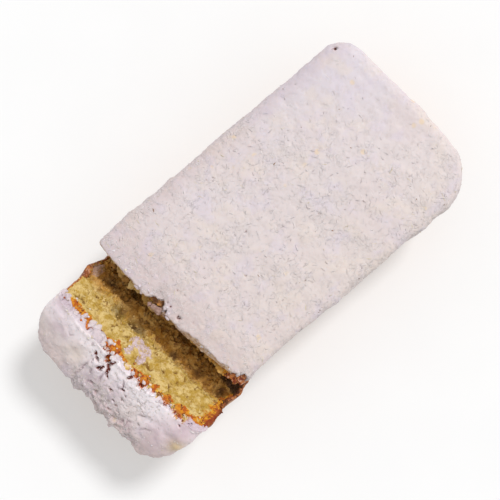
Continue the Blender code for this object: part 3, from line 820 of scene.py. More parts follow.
# the cut edge: crumbled along its top, and bevelled where the knife dragged it, from the middle to the -Y side
top_z = HEIGHT + 0.9
kk = cut_distance(b2) + 1.5 * fbm(b2, 3.6, 3, 60, 0.6)
bevel = ramp(-b2[:, 1], 8, 20) * ramp(b2[:, 1], -60, -50)
a = 0.7 + 0.9 * ramp(fbm(b2, 7.0, 2, 61), -0.2, 0.6) + 2.3 * bevel
down = 1.1 + 3.4 * bevel
q = kk / a + (top_z - b2[:, 2]) / down
over = np.clip(1 - q, 0, 1) * (np.abs(k) < 8)
b2[:, 0] += 0.55 * a * over
b2[:, 2] -= 0.55 * down * over
cut = np.maximum(cut, np.clip(over * 3, 0, 1) * bevel)
crack = np.zeros(len(b))
rng = np.random.default_rng(32)
for y in np.arange(-46.0, 54.0, 3.7):          # small bites all along it
    y = y + rng.uniform(-1.4, 1.4)
    r = rng.uniform(0.4, 1.5) * (1.0 if y > -8 else 0.7)
    x = -TAN_OB * y + CUT_BOW * min(1.0, abs(y) / HALF_W) ** 3 + rng.uniform(-0.8, 0.2)
    b2, hit = dent(b2, np.array((x, y, 64.2)), np.array((r, rng.uniform(0.7, 1.6) * r, rng.uniform(1.5, 5.0))), 121, 0.3, 2.0)
for c, r, s in (((0.3, 9.6, 62.6), (3.0, 3.0, 8.0), 62), ((2.9, 6.6, 62.8), (2.4, 2.0, 7.4), 70), ((-1.2, 12.8, 63.4), (1.7, 1.5, 6.0), 71),
                ((-0.2, 4.4, 62.8), (2.8, 2.6, 8.0), 72), ((3.4, 5.0, 64.2), (1.2, 0.8, 5.6), 73), ((1.6, 1.2, 63.6), (1.4, 1.0, 5.0), 79)):
    b2, hit = dent(b2, np.array(c), np.array(r), s, 0.24, 2.2)
    crack = np.maximum(crack, 0.55 * hit)
b2, hit = dent(b2, np.array((3.2, -59.0, 64.0)), np.array((9.5, 9.8, 12.0)), 63, 0.24, 3.6)
cut = np.maximum(cut, 0.6 * hit)
b2, pit = pits_in(b, b2, nb, LOAF_PITS)
crack = np.maximum(crack, pit)
shade = np.maximum(0.7 * ramp(-b[:, 0], -34, -6), 0.5 * ramp(b[:, 1], 44, 54))
# low: the gaps between shreds, coloured darker: painted shade
loaf_icing = finish_icing("loaf_icing_vis", "loaf_icing", me, LOAF, b2, cut=cut, low=0.5 - h * 1.4, crack=crack,
                          lit=np.zeros(len(b)), shade=shade, mat=1 - paste, tint=tint(b))

# ---- the slice's icing: loose lumps and cracks in the middle, smoother at both ends
me, b, nb, k, cut = build_icing("slice_icing", "slice_sponge", HEEL, True, 0.95)
h = relief.sample(b, nb)
loose = ramp(b[:, 1] + 10 * ramp(-b[:, 0], 16, 26), -34, -16) * ramp(-b[:, 1], -24, -10) * (0.6 + 0.4 * ramp(fbm(b, 9.0, 2, 51), -0.3, 0.3))
outer = ramp(-b[:, 0], 20, 31)
swell = 1.3 * fbm(b, 18.0, 2, 52) + 0.9 * fbm(b, 8.0, 2, 53) + 0.25 * fbm(b, 3.6, 2, 58)
w1, w2, wid = worley(b + 1.5 * np.stack([perlin(b / 2.6, 71), perlin(b / 2.6, 72), perlin(b / 2.6, 73)], 1), 4.6, 54)
clot = 0.6 * fbm(b, 5.0, 3, 63, 0.6) + 0.35 * (0.6 - w1) + 0.1 * fbm(b, 1.3, 2, 64)
tall = b * (0.8, 1.0, 0.45)                     # the outer side leans away, so its lumps are drawn out up it
ragged = outer * (2.6 * fbm(tall, 6.5, 3, 55, 0.5) + 0.5 * fbm(tall, 2.4, 2, 59))
push = (1 - cut) * (h * (0.07 + 0.12 * loose) + swell + (0.2 + 0.8 * loose) * clot + ragged * (0.45 + 1.2 * loose))
push += cut * (1.3 * fbm(b, 3.4, 2, 56) + 0.8 * fbm(b, 1.5, 2, 57))
for line, deep_, wide_ in ((((-29.0, 15.6, 64.0), (-16.4, 15.2, 64.6), (-11.0, 14.6, 65.0)), 0.8, 1.0),
                           (((-20.6, 2.3, 64.4), (-17.6, 4.0, 64.5), (-13.8, 4.9, 64.5)), 0.6, 0.9),
                           (((-27.0, -22.0, 63.6), (-19.0, -24.0, 64.4), (-12.0, -31.0, 64.4), (-9.0, -38.0, 64.0)), 0.7, 2.2),
                           (((-22.0, 36.0, 64.0), (-14.0, 33.0, 64.6), (-8.0, 40.0, 64.4)), 0.5, 2.4)):
    fold_d, fold_at = polyline(b, line)
    push -= deep_ * np.exp(-((fold_d + 0.5 * fbm(b, 3.0, 2, 76)) / wide_) ** 2)
push -= 1.2 * np.exp(-((b[:, 0] + 32) / 8) ** 2 - ((b[:, 1] - 50) / 9) ** 2) + 1.0 * np.exp(-((b[:, 0] + 36) / 6) ** 2) * (bump(b[:, 1], 4, 14) + bump(b[:, 1], -30, 14) + 1.2 * bump(b[:, 1], -12, 13))
push += 0.9 * np.exp(-((b[:, 0] + 10) / 9) ** 2) * ramp(-b[:, 1], 48, 54)
b2 = b + nb * push[:, None]
# the crumbled cut edge
kk = -cut_distance(b2) + 0.8 * fbm(b2, 3.0, 3, 74, 0.6)
a = 0.6 + 0.9 * ramp(fbm(b2, 6.0, 2, 75), -0.3, 0.6)
q = kk / a + (top_z - b2[:, 2]) / 1.8
over = np.clip(1 - q, 0, 1) * (np.abs(k) < 6)
b2[:, 0] -= 0.5 * a * over
b2[:, 2] -= 0.5 * 1.8 * over
crack = np.zeros(len(b))
bare = np.zeros(len(b))
for i, (c, r) in enumerate(HEEL_CHIPS):
    b2, hit = dent(b2, np.array(c), np.array(r), 80 + i, 0.28, 2.4)
    bare = np.maximum(bare, hit * ramp(HEIGHT - 0.8 - b2[:, 2], 0, 1.5))
rng = np.random.default_rng(31)
for y in np.arange(-50.0, 54.0, 3.1):          # small bites all along it
    y = y + rng.uniform(-1.2, 1.2)
    r = rng.uniform(0.5, 1.5)
    x = -TAN_OB * y + CUT_BOW * min(1.0, abs(y) / HALF_W) ** 3 + rng.uniform(-0.2, 0.7)
    b2, hit = dent(b2, np.array((x, y, 64.2)), np.array((r, rng.uniform(0.7, 1.5) * r, rng.uniform(2.0, 6.0))), 120, 0.3, 2.0)
for line, wide in HEEL_SPLITS:
    d, at = polyline(b, [at_cut(y, z) for y, z in line])
    near = np.exp(-((d + 0.45 * fbm(b, 1.7, 3, 96, 0.65)) / (1.15 * wide)) ** 2)
    b2 -= nb * (1.1 * near)[:, None]
    bare = np.maximum(bare, ramp(near, 0.35, 0.6))
# from the cracks down, the icing has worn thin at the cut and the browned top of the crumb shows
meal = ramp(-np.abs(k), -3.0, -1.8) * ramp(-b[:, 1] + 2.0 * fbm(b, 5.0, 2, 98), -7, -4) * ramp(b[:, 1], -50, -42) \
    * ramp(64.1 + 1.2 * fbm(b, 2.6, 3, 97, 0.6) - b[:, 2], 0, 0.6)
bare = np.maximum(bare, 0.95 * meal * ramp(fbm(b, 2.2, 3, 99, 0.6), 0.42, 0.3))
# painted shade: the creases and strands in the heel's icing are coloured darker
crease = np.zeros(len(b))
for line in CREASES:
    d, at = polyline(b, line)
    near = np.exp(-((d + 0.25 * fbm(b, 1.4, 2, 94)) / 0.75) ** 2) * (0.5 + 0.5 * np.sin(np.pi * at))
    b2 -= nb * (0.7 * near)[:, None]
    crease = np.maximum(crease, near)
strand = ramp(0.12 - np.abs(fbm(b * (0.9, 1.5, 0.5), 3.4, 3, 92, 0.6)), 0.0, 0.1) * ramp(fbm(b, 7.0, 2, 93), -0.1, 0.3) * (0.2 + 0.8 * loose) \
    * (1 - 0.7 * ramp(b[:, 0], -14, -6))
b2 -= nb * (0.26 * strand * (1 - cut))[:, None]
crease = np.maximum(crease, 0.4 * strand * (1 - cut))
for line in HEEL_CRACKS:
    d, at = polyline(b, line)
    d = d + 0.25 * fbm(b, 1.6, 2, 95)
    wide = 0.8 + 0.4 * np.sin(np.pi * at)
    b2 -= nb * (1.2 * np.exp(-(d / wide) ** 2))[:, None]
    crack = np.maximum(crack, np.exp(-(d / (wide * 0.95)) ** 2))
b2, pit = pits_in(b, b2, nb, HEEL_PITS)
crack = np.maximum(crack, pit)
yellow = blob(b, (-9.9, -53.0, 63.0), (5.5, 4.5, 6)) + 0.25 * blob(b, (-18.0, 24.0, 64.0), (7, 6, 6)) + 0.08 * blob(b, (-14.0, -18.0, 64.0), (8, 9, 6))
shade = np.maximum(ramp(-b[:, 0], 20, 32) * (0.75 + 0.5 * ramp(-b[:, 1], -10, 20)), 1.1 * ramp(-b[:, 1], 30, 44))
# painted shade: darker patches over the slice's icing, at its ends and its shoulders
dim = np.zeros(len(b))
for x, y, rx, ry, how in ((-16.0, 40.0, 7.0, 8.0, 1.0), (-5.0, 49.0, 5.0, 6.0, 1.0), (-15.0, 25.0, 7.0, 5.0, 0.4), (-21.5, 7.0, 7.0, 9.0, 0.9),
                          (-5.4, -4.4, 5.0, 6.0, 0.2), (-18.0, -8.0, 8.0, 8.0, 0.9), (-15.4, -24.0, 8.0, 6.0, 0.2), (-16.0, -38.0, 9.0, 8.0, 0.8),
                          (-2.0, -49.0, 12.0, 5.0, 0.9), (-25.3, -27.0, 3.4, 4.0, 0.8), (-26.2, 6.6, 4.0, 4.0, 0.5)):
    dim += how * np.exp(-((b[:, 0] - x) / rx) ** 2 - ((b[:, 1] - y) / ry) ** 2)
dim *= 1 + 0.9 * fbm(b, 5.0, 3, 79, 0.6)
# low: the gaps between shreds, coloured darker: painted shade
slice_icing = finish_icing("slice_icing_vis", "slice_icing", me, HEEL, b2, cut=0.0 * cut, yellow=yellow, low=0.5 - h * 0.7, crack=crack, bare=bare,
                           # edge: the crumbled cut edge of the icing is coloured darker: painted shade
                           lit=0.16 + 0.84 * ramp(b[:, 0], -25, -7) - 0.45 * ramp(-np.abs(k), -4.5, -2.5) * ramp(b[:, 1], -2, 12), tint=0.15 + 0.6 * bump(b[:, 1], 0, 34), shade=shade, edge=np.maximum(cut, ramp(over, 0.05, 0.5)), dim=dim,
                           meal=meal, crease=crease)


# ================================================================ shreds, lumps and crumbs
def shreds(beds, seed, wide, flat, segs=3):
    """Vertices (row frame, mm), triangles and per-vertex tones of curved three-sided shreds lying on beds.
    A bed is (object, place, number, weigh, shortest, longest, sink, lift, fuzz)."""
    rng = np.random.default_rng(seed)
    ts = np.array((-1.0, -0.6, 0.0, 0.6, 1.0)) if segs == 3 else np.array((-1.0, -0.45, 0.45, 1.0))
    rings = len(ts) - 2
    all_v, all_f, all_t, start = [], [], [], 0
    for ob, place, n, weigh, short, long_, sink, lift, fuzz in beds:
        tree = tree_of(ob)
        p, nn = surface_samples(ob.data, place, n, rng, weigh)
        d = rng.normal(size=(n, 3))
        d -= (d * nn).sum(1)[:, None] * nn
        d /= np.linalg.norm(d, axis=1)[:, None]
        s = np.cross(nn, d)
        half = rng.uniform(short, long_, n) * rng.uniform(0.75, 1.0, n) / 2
        bend = rng.normal(0, 0.09, n) / half
        along = half[:, None] * ts
        line = p[:, None] + d[:, None] * along[..., None] + s[:, None] * (bend[:, None] * along ** 2)[..., None]
        line = settle(tree, place, line)
        up = -sink - 0.14 * ramp(p[:, 0] + 0.8 * p[:, 1], 130, 200)[:, None] + rng.uniform(lift[0], lift[1], n)[:, None] * (1 - 0.9 * ts ** 2) \
            + (rng.random(n) < fuzz)[:, None] * rng.uniform(-1, 1, n)[:, None] * ts * half[:, None] * 0.42 \
            + (rng.random(n) < fuzz)[:, None] * 0.12
        line = line + nn[:, None] * up[..., None]
        w = rng.uniform(wide[0], wide[1], n)[:, None] * (0.62 + 0.38 * np.sqrt(1 - ts[1:-1] ** 2))
        hgt = rng.uniform(flat[0], flat[1], n)[:, None]
        roll = rng.uniform(-0.5, 0.5, n)
        sr = s * np.cos(roll)[:, None] + nn * np.sin(roll)[:, None]
        nr = nn * np.cos(roll)[:, None] - s * np.sin(roll)[:, None]
        mid = line[:, 1:-1]
        ring = np.stack([mid + sr[:, None] * (w / 2)[..., None] - nr[:, None] * (0.3 * hgt)[..., None],
                         mid - sr[:, None] * (w / 2)[..., None] - nr[:, None] * (0.3 * hgt)[..., None],
                         mid + nr[:, None] * (0.7 * hgt)[..., None]], 2)          # n, rings, 3, xyz
        v = np.concatenate([line[:, :1], ring.reshape(n, rings * 3, 3), line[:, -1:]], 1)
        per = rings * 3 + 2
        f = []
        for c in range(3):
            c2 = (c + 1) % 3
            f.append((0, 1 + c2, 1 + c))
            for r in range(rings - 1):
                i, j = 1 + 3 * r, 4 + 3 * r
                f += [(i + c, i + c2, j + c2), (i + c, j + c2, j + c)]
            e = 1 + 3 * (rings - 1)
            f.append((e + c, e + c2, per - 1))
        f = np.array(f)
        all_v.append(place.to_row(v.reshape(-1, 3)))
        all_f.append((f[None] + (np.arange(n) * per)[:, None, None]).reshape(-1, 3) + start)
        all_t.append(np.repeat(rng.random(n), per))
        start += n * per
    return np.concatenate(all_v), np.concatenate(all_f), np.concatenate(all_t)


def add_scatter(name, slot, v, f, **fields):
    me = mesh_from(name, v, f)
    for k_, values in fields.items():
        attr(me, k_, values)
    ob = add_object(name, me)
    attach(ob, "root")
    note(name, count(me), "triangles")
    return ob


def ball(rounds):
    bm = bmesh.new()
    bmesh.ops.create_icosphere(bm, subdivisions=rounds, radius=1.0)
    v = np.array([x.co[:] for x in bm.verts])
    bm.faces.ensure_lookup_table()
    f = np.array([[x.index for x in g.verts] for g in bm.faces])
    bm.free()
    return v, f


BALLS = {1: ball(1), 2: ball(2), 3: ball(3), 4: ball(4)}


def turn_matrices(rng, n):
    q = rng.normal(size=(n, 4))
    q /= np.linalg.norm(q, axis=1)[:, None]
    w, x, y, z = q.T
    return np.stack([np.stack([1 - 2 * (y * y + z * z), 2 * (x * y - z * w), 2 * (x * z + y * w)], 1),
                     np.stack([2 * (x * y + z * w), 1 - 2 * (x * x + z * z), 2 * (y * z - x * w)], 1),
                     np.stack([2 * (x * z - y * w), 2 * (y * z + x * w), 1 - 2 * (x * x + y * y)], 1)], 1)


def lumps_of(centres, sizes, place, rng, rounds, rough=0.3, seed=0, squash=(0.6, 1.0)):
    """Rough lumps: vertices (row frame), triangles and a tone for each."""
    v0, f0 = BALLS[rounds]
    n = len(centres)
    m = turn_matrices(rng, n)
    stretch = rng.uniform(squash[0], squash[1], (n, 3))
    stretch /= stretch.max(1)[:, None]
    v = np.einsum("nij,nvj->nvi", m, v0[None] * stretch[:, None]) * np.asarray(sizes)[:, None, None]
    v = v + np.asarray(centres)[:, None]
    flat = v.reshape(-1, 3)
    size = np.repeat(np.asarray(sizes), len(v0))
    out = flat - np.repeat(np.asarray(centres), len(v0), 0)
    out /= np.maximum(np.linalg.norm(out, axis=1), 1e-6)[:, None]
    key = flat + np.repeat(rng.uniform(0, 90, n), len(v0))[:, None]
    unit = key / np.maximum(size, 0.3)[:, None]
    w1, w2, _ = worley(unit, 0.95, seed + 5)
    r = size * (rough * fbm(unit, 1.2, 3, seed, 0.6) + 0.5 * (0.5 - w1))
    flat = flat + out * r[:, None]
    f = (f0[None] + (np.arange(n) * len(v0))[:, None, None]).reshape(-1, 3)
    return place.to_row(flat), f, np.repeat(rng.random(n), len(v0))


def joined(*groups):
    start, vs, fs, ts = 0, [], [], []
    for v, f, t in groups:
        vs.append(v)
        fs.append(f + start)
        ts.append(t)
        start += len(v)
    return np.concatenate(vs), np.concatenate(fs), np.concatenate(ts)


def loaf_bed(c, n):
    """Where shreds lie on the loaf's icing: the top and the hanging edge, not the cut or what is sunk in the sponge."""
    k_ = cut_distance(c)
    up = ramp(n[:, 2], -0.25, 0.2) * (c[:, 2] > HEIGHT - 1.5)
    mid = np.array((LOAF_LENGTH / 2, 0.0, 40.0))
    away = ramp((((c - mid) / np.linalg.norm(c - mid, axis=1)[:, None]) * n).sum(1), 0.1, 0.4)
    flank = away * (c[:, 2] > 52) * (c[:, 2] <= HEIGHT - 1.5) * 0.9
    tuft = 0.3 + 0.7 * ramp(fbm(c, 16.0, 2, 41), 0.25, -0.4)
    return (up + flank) * (k_ > 1.2) * tuft


def heel_bed(c, n):
    k_ = cut_distance(c)
    mid = np.array((-6.0, 0.0, 44.0))
    away = ramp((((c - mid) / np.linalg.norm(c - mid, axis=1)[:, None]) * n).sum(1), 0.15, 0.45)
    return away * (c[:, 2] > 54) * (k_ < -1.0)


def heel_loose(c, n):
    patch = ramp(c[:, 1], -44, -26) * ramp(-c[:, 1], -24, -10)
    return heel_bed(c, n) * (0.16 + patch * (0.5 + 0.8 * ramp(-c[:, 0], 14, 28)))


def rim_bed(c, n):
    edge = np.minimum(LOAF_LENGTH - c[:, 0] - TAN_OB * c[:, 1], HALF_W - np.abs(c[:, 1]))
    return loaf_bed(c, n) * (0.25 + 1.6 * ramp(-edge, -7, -1))


rng = np.random.default_rng(11)
v, f, t = shreds([(loaf_icing, LOAF, 7600, loaf_bed, 2.6, 6.4, 0.21, (0.0, 0.19), 0.03),
                  (slice_icing, HEEL, 2000, heel_loose, 1.6, 4.6, 0.22, (0.0, 0.2), 0.08)], 12, (0.45, 0.85), (0.26, 0.42))
fine = add_scatter("coconut_shreds", "coconut_icing", v, f, tone=t, tint=tint(LOAF.to_body(v)))
v, f, t = shreds([(loaf_icing, LOAF, 3000, rim_bed, 1.2, 3.0, 0.20, (0.02, 0.22), 0.07),
                  (slice_icing, HEEL, 160, heel_loose, 1.4, 3.4, 0.26, (0.0, 0.2), 0.08)], 13, (0.6, 1.1), (0.26, 0.44), segs=2)
bits = add_scatter("coconut_bits", "coconut_icing", v, f, tone=t, tint=tint(LOAF.to_body(v)), bit=np.ones(len(v)))

# ---- lumps of icing: those the cut edge lost, and small ones over the slice
big = lumps_of([at_cut(*c, 0.5 * s) for c, s in HEEL_LUMPS] + [c for c, s in TOP_LUMPS], [s for c, s in HEEL_LUMPS + TOP_LUMPS], HEEL, rng, 4, 0.4, 200, (0.65, 1.0))
notch = lumps_of([(-1.8, 6.8, 59.2), (-1.2, 3.8, 60.0), (0.2, 0.6, 60.4), (-2.8, 10.4, 58.6), (0.6, 3.2, 60.6)], [2.3, 2.7, 2.0, 1.5, 1.5], LOAF, rng, 4, 0.4, 201, (0.6, 1.0))
rest = lumps_of([(-0.6, 22.6, 62.6), (-0.2, 19.0, 62.6), (0.6, 15.8, 62.8), (2.7, 3.6, 61.8), (2.6, 0.4, 62.2), (1.0, -2.4, 62.6), (1.8, 2.2, 61.8)],
                [2.3, 2.4, 1.8, 0.7, 0.9, 1.8, 0.8], LOAF, rng, 3, 0.5, 206, (0.6, 1.0))
p, nn = surface_samples(slice_icing.data, HEEL, 30, rng, heel_loose)
s = rng.uniform(1.0, 2.4, 30)
small = lumps_of(p - nn * (0.78 * s)[:, None], s, HEEL, rng, 3, 0.5, 202)


def cut_line(c, n):
    return loaf_bed(c, n) * ramp(-cut_distance(c), -5.5, -2.2)


p, nn = surface_samples(loaf_icing.data, LOAF, 34, rng, cut_line)
s = rng.uniform(0.5, 1.4, 34)
edge = lumps_of(p - nn * (0.55 * s)[:, None], s, LOAF, rng, 3, 0.5, 203)


def heel_line(c, n):
    return heel_bed(c, n) * ramp(cut_distance(c), -4.5, -1.8)


p, nn = surface_samples(slice_icing.data, HEEL, 30, rng, heel_line)
s = rng.uniform(0.6, 1.6, 30)
edge2 = lumps_of(p - nn * (0.5 * s)[:, None], s, HEEL, rng, 3, 0.5, 204)
ys = np.array([y for y, r, d_ in HEEL_PATCHES])[None]


def strewn(c, n):
    """Bits of icing on the bared crust, and a few by the smear."""
    near = np.exp(-((c[:, 1:2] - ys) / 4.5) ** 2).max(1) * ramp(c[:, 2], 51, 57)
    return ((n @ KNIFE) > 0.3) * (near + 0.25 * blob(c, (3.2, 2.0, 48.0), (5, 8, 7)))


p, nn = surface_samples(slice_sponge.data, HEEL, 18, rng, strewn)
s = rng.uniform(0.3, 0.9, 18)
drawn = lumps_of(p + nn * (0.2 * s)[:, None], s, HEEL, rng, 2, 0.55, 205)
v, f, t = joined(big, notch, small, edge, edge2, drawn, rest)
# painted shade: the lumps in the notch, and less the big ones, are coloured darker
dimmed = np.zeros(len(v))
dimmed[:len(big[0])] = 0.2
dimmed[len(big[0]):len(big[0]) + len(notch[0])] = 1.0
lumps = add_scatter("icing_lumps", "coconut_icing", v, f, tone=t, dim=dimmed)


# ---- crumbs of cake on the cut faces, browned ones where they come from the crust
def crumb_face(c, n):
    return (np.abs(cut_distance(c)) < 8) * ((n @ KNIFE) > 0.3) * ramp(c[:, 2], 6, 14) * (1.0 + 1.5 * (c[:, 2] < 42)) * (c[:, 2] < 58)


N1, N2 = 300, 200
p, nn = surface_samples(slice_sponge.data, HEEL, N1, rng, crumb_face)
s = rng.uniform(0.3, 0.85, N1) * (1.0 + 0.5 * (p[:, 2] < 40))
heel_crumbs = lumps_of(p - nn * (0.15 * s)[:, None], s, HEEL, rng, 2, 0.55, 210)
brown1 = np.clip(1.2 * ramp(-p[:, 1], 45, 51) + 1.0 * ramp(p[:, 2], 54, 58) * (rng.random(N1) < 0.6), 0, 1)
# painted shade: crumbs lower in the V, and on the loaf's cut, are coloured darker
deep1 = ramp(42 - p[:, 2], 0, 16) * (0.7 + 0.3 * ramp(-p[:, 1], -10, 12))
p, nn = surface_samples(loaf_sponge.data, LOAF, N2, rng,
                        lambda c, n: (np.abs(cut_distance(c)) < 12) * (((n @ KNIFE) < -0.4) * 0.3 + 2.0 * ((n[:, 2] > 0.3) & (cut_distance(c) < 9)))
                        * ramp(c[:, 2], 30, 42))
s = rng.uniform(0.3, 1.1, N2)
loaf_crumbs = lumps_of(p - nn * (0.1 * s)[:, None], s, LOAF, rng, 2, 0.5, 211)
brown2 = ((p[:, 1] < -46) | ((p[:, 1] < 17) & (p[:, 1] > 0) & (p[:, 2] > 56))).astype(float)
deep2 = 0.35 + 0.4 * ramp(52 - p[:, 2], 0, 16)
# chunks of crumb that stand out from the loaf under the icing's edge: place, size, and how much painted shade
CHUNKS = (((-3.6, 36.0, 51.5), 3.6, 0.45), ((-4.4, 31.4, 49.0), 3.0, 0.6), ((-4.0, 25.2, 53.4), 3.2, 0.0), ((-2.6, 22.0, 50.6), 2.6, 0.2),
          ((-2.6, 14.4, 49.6), 3.4, 0.3), ((-2.2, 9.4, 48.6), 3.6, 0.35), ((-3.4, 42.6, 47.0), 3.6, 0.8), ((-1.0, 2.0, 49.0), 2.8, 0.5),
          ((-0.4, -5.0, 48.0), 2.4, 0.6), ((3.4, -33.0, 52.0), 2.2, 0.5))
chunks = lumps_of([c for c, s, d in CHUNKS], [s for c, s, d in CHUNKS], LOAF, rng, 4, 0.6, 212, (0.6, 1.0))
deep3 = np.repeat([d for c, s, d in CHUNKS], len(BALLS[4][0]))
v, f, t = joined(heel_crumbs, loaf_crumbs, chunks)
crumbs = add_scatter("cake_crumbs", "sponge", v, f, tone=t, brown=np.concatenate([np.repeat(np.concatenate([brown1, brown2]), 42), 0 * deep3]),
                     deep=np.concatenate([np.repeat(np.concatenate([deep1, deep2]), 42), deep3]))

# ================================================================ materials
class Nodes:
    """A small helper for building node trees."""

    def __init__(self, name):
        self.mat = bpy.data.materials.new(name)
        self.mat.use_nodes = True
        self.t = self.mat.node_tree
        self.t.nodes.clear()
        self.out = self.t.nodes.new("ShaderNodeOutputMaterial")
        self.bsdf = self.t.nodes.new("ShaderNodeBsdfPrincipled")
        self.t.links.new(self.bsdf.outputs[0], self.out.inputs[0])

    def new(self, kind, **props):
        n = self.t.nodes.new(kind)
        for k, v in props.items():
            setattr(n, k, v)
        return n

    def put(self, socket, value):
        if isinstance(value, bpy.types.NodeSocket):
            self.t.links.new(value, socket)
        elif isinstance(value, (tuple, list)) and len(value) == 3 and socket.type == "RGBA":
            socket.default_value = (*value, 1.0)
        else:
            socket.default_value = value

    def attr(self, name):
        return self.new("ShaderNodeAttribute", attribute_name=name).outputs["Fac"]

    def coords(self):
        return self.new("ShaderNodeTexCoord").outputs["Object"]

    def noise(self, scale_mm, detail=3.0, rough=0.5, coords=None, distortion=0.0):
        n = self.new("ShaderNodeTexNoise")
        self.put(n.inputs["Vector"], coords or self.coords())
        n.inputs["Scale"].default_value = 1000.0 / scale_mm
        n.inputs["Detail"].default_value = detail
        n.inputs["Roughness"].default_value = rough
        n.inputs["Distortion"].default_value = distortion
        return n.outputs["Fac"]

    def voronoi(self, scale_mm, feature="F1", coords=None):
        n = self.new("ShaderNodeTexVoronoi", feature=feature)
        self.put(n.inputs["Vector"], coords or self.coords())
        n.inputs["Scale"].default_value = 1000.0 / scale_mm
        return n.outputs["Distance"]

    def ramp(self, fac, a, b, lo=0.0, hi=1.0):
        n = self.new("ShaderNodeMapRange", interpolation_type="SMOOTHSTEP")
        self.put(n.inputs["Value"], fac)
        n.inputs["From Min"].default_value = a
        n.inputs["From Max"].default_value = b
        n.inputs["To Min"].default_value = lo
        n.inputs["To Max"].default_value = hi
        return n.outputs["Result"]

    def math(self, op, a, b=0.0):
        n = self.new("ShaderNodeMath", operation=op)
        self.put(n.inputs[0], a)
        self.put(n.inputs[1], b)
        return n.outputs[0]

    def mix(self, fac, a, b, blend="MIX"):
        n = self.new("ShaderNodeMix", data_type="RGBA", blend_type=blend)
        self.put(n.inputs[0], fac)
        self.put(n.inputs[6], a)
        self.put(n.inputs[7], b)
        return n.outputs[2]

    def bump(self, height, strength=0.3, dist_mm=0.3, normal=None):
        n = self.new("ShaderNodeBump")
        n.inputs["Strength"].default_value = strength
        n.inputs["Distance"].default_value = dist_mm * MM
        self.put(n.inputs["Height"], height)
        if normal is not None:
            self.put(n.inputs["Normal"], normal)
        return n.outputs["Normal"]


def srgb(r, g, b):
    """Display colour 0-255 to linear."""
    return tuple((c / 255 / 12.92) if c / 255 <= 0.04045 else ((c / 255 + 0.055) / 1.055) ** 2.4 for c in (r, g, b))


def speckled(m, base, scale_mm, reach_mm, share, colour, strength):
    """Small round flecks of another colour, about one to a cell, kept only where a noise is high."""
    d = m.voronoi(scale_mm)
    near = m.ramp(d, reach_mm / scale_mm, 0.45 * reach_mm / scale_mm)
    keep = m.ramp(m.noise(scale_mm * 1.7, 1.0), 0.5 + 0.5 * (1 - share) * 0.3, 0.56 + 0.5 * (1 - share) * 0.3)
    return m.mix(m.math("MULTIPLY", m.math("MULTIPLY", near, keep), strength), base, colour)


def strokes(m, scale_mm, width, keep_lo, keep_hi):
    """Short curved lines between shreds, for painted shadow in the gaps: 1 on a line."""
    n = m.noise(scale_mm, 1.5, 0.5, distortion=0.9)
    line = m.ramp(m.math("ABSOLUTE", m.math("SUBTRACT", n, 0.5)), width, width * 0.25)
    return m.math("MULTIPLY", line, m.ramp(m.noise(scale_mm * 0.9, 2.0), keep_lo, keep_hi))


def icing_colours(m):
    base = m.mix(m.attr("tint"), srgb(222, 208, 200), srgb(215, 206, 213))
    base = m.mix(m.ramp(m.noise(38, 3), 0.40, 0.60, 0.0, 0.6), base, srgb(219, 205, 204))
    base = m.mix(m.ramp(m.noise(15, 3), 0.48, 0.66, 0.0, 0.45), base, srgb(225, 211, 201))
    base = m.mix(m.ramp(m.noise(11, 3, 0.5, distortion=0.4), 0.50, 0.68, 0.0, 0.42), base, srgb(214, 203, 216))
    return base


